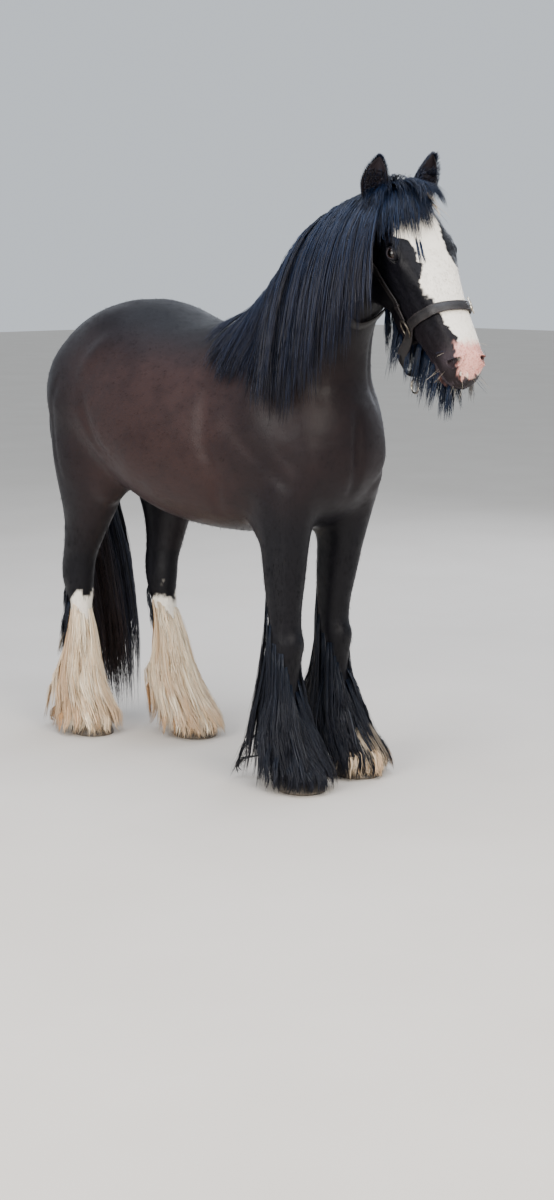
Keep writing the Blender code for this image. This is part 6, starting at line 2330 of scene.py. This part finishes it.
@dataclass
class Headcollar:
    """A stable headcollar: flat sewn straps with keepers, dull rings and a buckle."""

    head: Head
    skin: Surface
    thick: float = 0.0042
    clear: float = 0.0046
    width: float = 0.024
    nose_width: float = 0.031
    nose_s: float = 0.378
    nose_n: float = 0.075
    nose_tilt: float = -0.30
    droop: float = 0.120
    backward: float = 0.16
    ring_w: float = 0.062
    ring_radius: float = 0.026
    chin_ring: float = 0.75
    chin_drop: float = 0.036
    wire: float = 0.0032
    frame_wire: float = 0.0023
    side_ring: tuple[float, float] = (0.351, 0.155)
    buckle_place: tuple[float, float] = (0.392, 0.020)
    cheek_line: tuple = ((0.335, 0.150), (0.30, 0.140), (0.26, 0.131), (0.19, 0.134),
                         (0.12, 0.138), (0.06, 0.130))
    # A strap's section: shares of half its width and half its thickness, and wear
    profile: tuple = (
        (1, 0, 1), (0.97, 0.62, 1), (0.90, 0.92, 0.7), (0.74, 1.0, 0), (0.70, 0.86, 0),
        (0.66, 1.0, 0), (0, 1.08, 0), (-0.66, 1.0, 0), (-0.70, 0.86, 0), (-0.74, 1.0, 0),
        (-0.90, 0.92, 0.7), (-0.97, 0.62, 1), (-1, 0, 1), (-0.96, -0.85, 0.4), (0, -1, 0),
        (0.96, -0.85, 0.4),
    )
    stitch_every: float = 0.0055
    stitch_in: float = 0.0032
    stitch: tuple[float, float, float] = (0.0021, 0.0006, 0.0006)

    def around(self, centre: Vector, first: Vector, second: Vector, count: int) -> list[Vector]:
        """Points where rays towards a centre meet the skin, all the way round.

        Args:
            centre: where the rays go.
            first: unit vector out of the centre, where they begin.
            second: unit vector across it.
            count: how many.

        Returns:
            The points.
        """
        found = []
        for c, s in zip(*circle(count)):
            out = first * c + second * s
            found.append(self.skin.hit(centre + out * OUTSIDE, -out)[0])
        return found

    def laid(self, line: list[Vector], closed: bool) -> tuple[Array, Array]:
        """A line let down on the skin and smoothed, with the direction off it.

        Args:
            line: rough places.
            closed: whether it goes all the way round.

        Returns:
            Places and directions.
        """
        lift = self.clear + self.thick / 2
        count = len(line)
        path = [self.skin.clear(p, lift) for p in line]
        for _ in range(6):
            moved = list(path)
            for i in range(count) if closed else range(1, count - 1):
                moved[i] = (path[i - 1] + path[i] * 2 + path[(i + 1) % count]) / 4
            path = [self.skin.clear(p, lift) for p in moved]
        normals = np.array([self.skin.tree.find_nearest(p)[1] for p in path])
        for _ in range(8):
            before, after = np.roll(normals, 1, 0), np.roll(normals, -1, 0)
            if not closed:
                before[0], after[-1] = normals[0], normals[-1]
            normals = unit(before + 2 * normals + after)
        return np.array(path), normals

    def strap(self, name: str, line: list[Vector], width: float, closed: bool,
              material: Material, node: str) -> tuple[Array, Array, Array]:
        """One strap with rounded edges.

        Args:
            name: the piece's name.
            line: rough places along it.
            width: across it.
            closed: whether it goes all the way round.
            material: the leather.
            node: the CAD node that it stands for.

        Returns:
            Middle line, direction across and direction out, for stitches and keepers.
        """
        places, normals = self.laid(line, closed)
        if closed:
            along = unit(np.roll(places, -1, 0) - np.roll(places, 1, 0))
        else:
            along = unit(np.gradient(places, axis=0))
        out = unit(normals - along * (normals * along).sum(1, keepdims=True))
        across = np.cross(along, out)
        half, thick = width / 2, self.thick / 2
        rings = [places + across * (u * half) + out * (v * thick) for u, v, _ in self.profile]
        count, each = len(places), len(rings)
        faces = woven(count, each, True) if closed else capped(count, each)
        mesh = mesh_of(name, np.stack(rings, axis=1).reshape(-1, 3), faces)
        store(mesh, "wear", np.tile([worn for _, _, worn in self.profile], count))
        show(name, mesh, material, Slot.LEATHER, node)
        return places, across, out

    def stitches(self, laid: tuple, width: float, closed: bool) -> list[Form]:
        """Stitches along both edges of a strap.

        Args:
            laid: middle line, across and out of the strap.
            width: across it.
            closed: whether it goes all the way round.

        Returns:
            A small closed form for each stitch.
        """
        places, across, out = (np.concatenate([v, v[:1]]) if closed else v for v in laid)
        walked = np.concatenate([[0], np.cumsum(np.linalg.norm(np.diff(places, axis=0), axis=1))])
        forms = []
        for sign in (-1, 1):
            for at in np.arange(self.stitch_every, walked[-1] - self.stitch_every,
                                self.stitch_every):
                mid, side, up = (np.array([np.interp(at, walked, v[:, k]) for k in range(3)])
                                 for v in (places, across, out))
                centre = (mid + side * sign * (width / 2 - self.stitch_in)
                          + up * (self.thick * 0.50))
                axes = np.array((unit(np.cross(up, side)), side, up))
                forms.append(ellipsoid(centre, self.stitch, axes, 8))
        return forms

    def torus(self, name: str, centre: Array, first: Array, second: Array,
              reach: tuple[float, float], power: float, material: Material, node: str) -> None:
        """A ring or a squared frame of round wire.

        Args:
            name: the piece's name.
            centre: its middle.
            first: unit vector across it.
            second: the other one.
            reach: half lengths along the two.
            power: 2 is an ellipse, more is squarer.
            material: the metal.
            node: the CAD node that it stands for.
        """
        long, turns = 64, 14
        over = np.cross(first, second)
        c, s = circle(long, power)
        line = centre + np.outer(c * reach[0], first) + np.outer(s * reach[1], second)
        along = unit(np.roll(line, -1, 0) - np.roll(line, 1, 0))
        side = np.cross(along, over)
        wire = self.wire if power < 3 else self.frame_wire
        points = np.stack([line + (side * a + over * b) * wire for a, b in zip(*circle(turns))],
                          axis=1)
        quads = woven(long, turns, True)[:, (0, 3, 2, 1)]
        show(name, mesh_of(name, points.reshape(-1, 3), quads), material, Slot.METAL, node)

    def build(self) -> None:
        """All its pieces."""
        head, skin = self.head, self.skin
        leather = LEATHER.build()
        dull = worn_nickel("dull_nickel_plated_brass", "#6e675d", "#2c2825", 0.45).build()
        bright = worn_nickel("worn_nickel_plated_brass", "#d8d0c0", "#8b8070", 0.26).build()
        nose = self.strap("noseband_leather", self.nose_line(), self.nose_width, True, leather,
                          "noseband")
        forms = self.stitches(nose, self.nose_width, True)
        poll_up = (-head.back * 0.73 - head.down * 0.68).normalized()
        line = self.around(head.on(0.050, 0.165, 0), poll_up, head.left, 110)
        poll = self.strap("headpiece_leather", line, self.width, True, leather, "headpiece")
        forms += self.stitches(poll, self.width, True)
        for side in Side:
            inward = -head.left * side.value
            line = [skin.hit(head.on(s, n, side.value * OUTSIDE), inward)[0]
                    for s, n in smoothed(np.array(self.cheek_line), 8)]
            cheek = self.strap("cheek_leather_" + side.word, line, self.width, False, leather,
                               "cheek_strap_" + side.word)
            forms += self.stitches(cheek, self.width, False)
            self.keeper("keeper_" + side.word, cheek, leather)
            place, normal = skin.hit(head.on(*self.side_ring, side.value * OUTSIDE), inward)
            self.ring_at("side_ring_" + side.word, place, normal, 1.0, dull, "ring_" + side.word)
        low = Vector(nose[0][nose[0][:, 2].argmin()]) - Vector((0, 0, self.chin_drop))
        self.ring_at("chin_ring_bright", low, head.left, self.chin_ring, bright, "chin_ring")
        place, normal = skin.hit(head.on(*self.buckle_place, OUTSIDE), -head.left)
        self.buckle(np.array(place), np.array(normal), bright)
        show("headcollar_stitching", mesh_of("headcollar_stitching", *gathered(forms)),
             THREAD.build(), Slot.LEATHER)

    def nose_line(self) -> list[Vector]:
        """The noseband's line, which hangs slack behind the chin.

        Returns:
            Rough places along it.
        """
        head = self.head
        back = (head.back + head.down * self.nose_tilt).normalized()
        middle = head.on(self.nose_s, self.nose_n, 0)
        line = []
        for p in self.around(middle, -back, head.left, 120):
            behind, aside = (p - middle).dot(back), (p - middle).dot(head.left)
            if behind > 0:
                drop = self.droop * max(0.0, 1 - (aside / self.ring_w) ** 2)
                p = p - Vector((self.backward * drop, 0, drop))
            line.append(p)
        return line

    def ring_at(self, name: str, place: Vector, normal: Vector, size: float, metal: Material,
                node: str) -> None:
        """A round ring that lies over the straps at a place.

        Args:
            name: the piece's name.
            place: on the skin.
            normal: off it.
            size: as a share of the side rings'.
            metal: its finish.
            node: the CAD node that it stands for.
        """
        over = np.array(normal.normalized())
        first = np.array(self.head.back)
        first = unit(first - over * (first @ over))
        centre = np.array(place) + over * (self.clear + self.thick + self.wire + 0.0005)
        reach = self.ring_radius * size
        self.torus(name, centre, first, np.cross(over, first), (reach, reach), 2, metal, node)

    def buckle(self, place: Array, normal: Array, metal: Material) -> None:
        """The squared frame of the buckle and its tongue, on the far side.

        Args:
            place: on the skin.
            normal: off it.
            metal: its finish.
        """
        along = unit(np.array(self.head.back) - normal * (np.array(self.head.back) @ normal))
        over = np.cross(normal, along)
        centre = place + normal * (self.clear + self.thick + self.frame_wire + 0.0005)
        self.torus("buckle_frame", centre, along, over, (0.017, 0.019), 6, metal, "buckle")
        tongue = ellipsoid(centre + normal * 0.001, (0.0175, 0.0017, 0.0013),
                           np.array((along, over, normal)), 16)
        show("buckle_tongue", mesh_of("buckle_tongue", *tongue), metal, Slot.METAL)

    def keeper(self, name: str, cheek: tuple, leather: Material) -> None:
        """A loop of leather round a cheek strap, below its upper end.

        Args:
            name: the piece's name.
            cheek: middle line, across and out of the strap.
            leather: its finish.
        """
        places, across, out = cheek
        at = len(places) // 4
        along = unit(places[at + 1] - places[at - 1])
        c, s = circle(40, 2 / 0.28)
        u, v = c * (self.width / 2 + 0.0012), s * (self.thick / 2 + 0.0012)
        rings = []
        for shift, grow in ((-0.0045, 0), (-0.0040, 0.0009), (0.0040, 0.0009), (0.0045, 0)):
            rings.append(places[at] + along * shift + np.outer(u * (1 + grow / 0.012), across[at])
                         + np.outer(v + np.sign(s) * grow, out[at]))
        mesh = mesh_of(name, *loft(rings), flat_ends=True)
        store(mesh, "wear", np.full(len(mesh.vertices), 0.8))
        show(name, mesh, leather, Slot.LEATHER)


@dataclass
class Studio:
    """Camera, floor and soft light."""

    camera_place: tuple[float, float, float] = (4.5456, -4.2771, 1.6)
    camera_down: float = math.radians(9.79)
    camera_turn: float = math.radians(46.0)
    lens: float = 60.0
    sensor: float = 36.0
    floor_reach: float = 30.0
    sky: str = "#dfe6ee"
    sky_strength: float = 0.95
    aim: Vector = Vector((0.0, 0.0, 0.9))
    # Name, place, size, power and colour of each lamp
    lamps: tuple = (
        ("overhead", (0.4, -0.6, 5.2), 5.0, 270.0, "#e8eefc"),
        ("front", (4.6, -1.2, 3.2), 3.0, 260.0, "#fff6ea"),
        ("near_side", (0.6, -5.2, 2.6), 3.5, 300.0, "#fdf8f2"),
        ("far_side", (-1.5, 5.0, 3.4), 3.5, 170.0, "#eef3ff"),
    )

    def camera(self) -> None:
        """The camera at the photograph's angle."""
        data = bpy.data.cameras.new("camera")
        data.lens = self.lens
        data.sensor_width = self.sensor
        item = bpy.data.objects.new("camera", data)
        item.location = self.camera_place
        item.rotation_euler = (math.pi / 2 - self.camera_down, 0, self.camera_turn)
        bpy.context.scene.collection.objects.link(item)
        bpy.context.scene.camera = item

    def floor(self) -> None:
        """A wide pale floor."""
        work = bmesh.new()
        bmesh.ops.create_grid(work, x_segments=24, y_segments=24, size=self.floor_reach)
        mesh = bpy.data.meshes.new("floor")
        work.to_mesh(mesh)
        work.free()
        item = bpy.data.objects.new("floor", mesh)
        bpy.context.scene.collection.objects.link(item)
        mesh.materials.append(FLOOR.build())

    def lights(self) -> None:
        """An even pale sky and large soft lights above and in front."""
        world = bpy.data.worlds.new("pale_sky")
        bpy.context.scene.world = world
        world.use_nodes = True
        even = world.node_tree.nodes["Background"]
        even.inputs["Color"].default_value = linear(self.sky)
        even.inputs["Strength"].default_value = self.sky_strength
        for name, place, size, power, colour in self.lamps:
            data = bpy.data.lights.new(name, "AREA")
            data.shape = "DISK"
            data.size = size
            data.energy = power
            data.color = linear(colour)[:3]
            item = bpy.data.objects.new(name, data)
            item.location = place
            way = self.aim - Vector(place)
            item.rotation_euler = way.to_track_quat("-Z", "Y").to_euler()
            bpy.context.scene.collection.objects.link(item)

    def build(self) -> None:
        """Sets up all of it."""
        self.camera()
        self.floor()
        self.lights()


def main() -> None:
    """Builds every piece in order."""
    logging.basicConfig(level=logging.INFO, format="%(message)s")
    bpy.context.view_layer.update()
    Studio().build()
    head = Head()
    face, flesh, marks = Face(head), Flesh(head), Markings(head)
    coat = COAT.build()
    skin = flesh.build(face)
    store(skin, "marks", marks.of(flesh.points))
    store(skin, "bare", marks.bare(flesh.points))
    legs = [f"{s.name}_{part}_leg" for s in STANCES for part in ("upper", "lower")]
    show("skin", skin, coat, Slot.COAT, "torso", "neck", "head", *legs)
    eye = EYE.build()
    for side in Side:
        face.eyeball(side, eye)
        face.lids(side, flesh.surface, coat)
    # The lighter strand colours are blue with a painted reflection of the sky
    hair = long_hair("black_long_hair", "#0f2442", 0.36).build()
    feather_hair = long_hair("feather_hair", "#0d1726", 0.42).build()
    horn = HORN.build()
    for side in Side:
        Ear(head, side).build(coat, hair)
    for stance in STANCES:
        Hoof(stance).build(flesh, horn)
    Headcollar(head, flesh.surface).build()
    for kind in (Mane, Forelock, Beard, Tail):
        kind(flesh, hair).build()
    for stance in STANCES:
        # How high the feather starts behind and in front, and its reach ahead, back and aside
        sizes = ((0.62, 0.28, 0.106, 0.290, 0.120) if stance.fore
                 else (0.50, 0.42, 0.104, 0.262, 0.112))
        Feather(flesh, feather_hair, marks, stance, *sizes).build()
    ShortCoat(flesh, marks, coat).build()


if __name__ == "__main__":
    main()
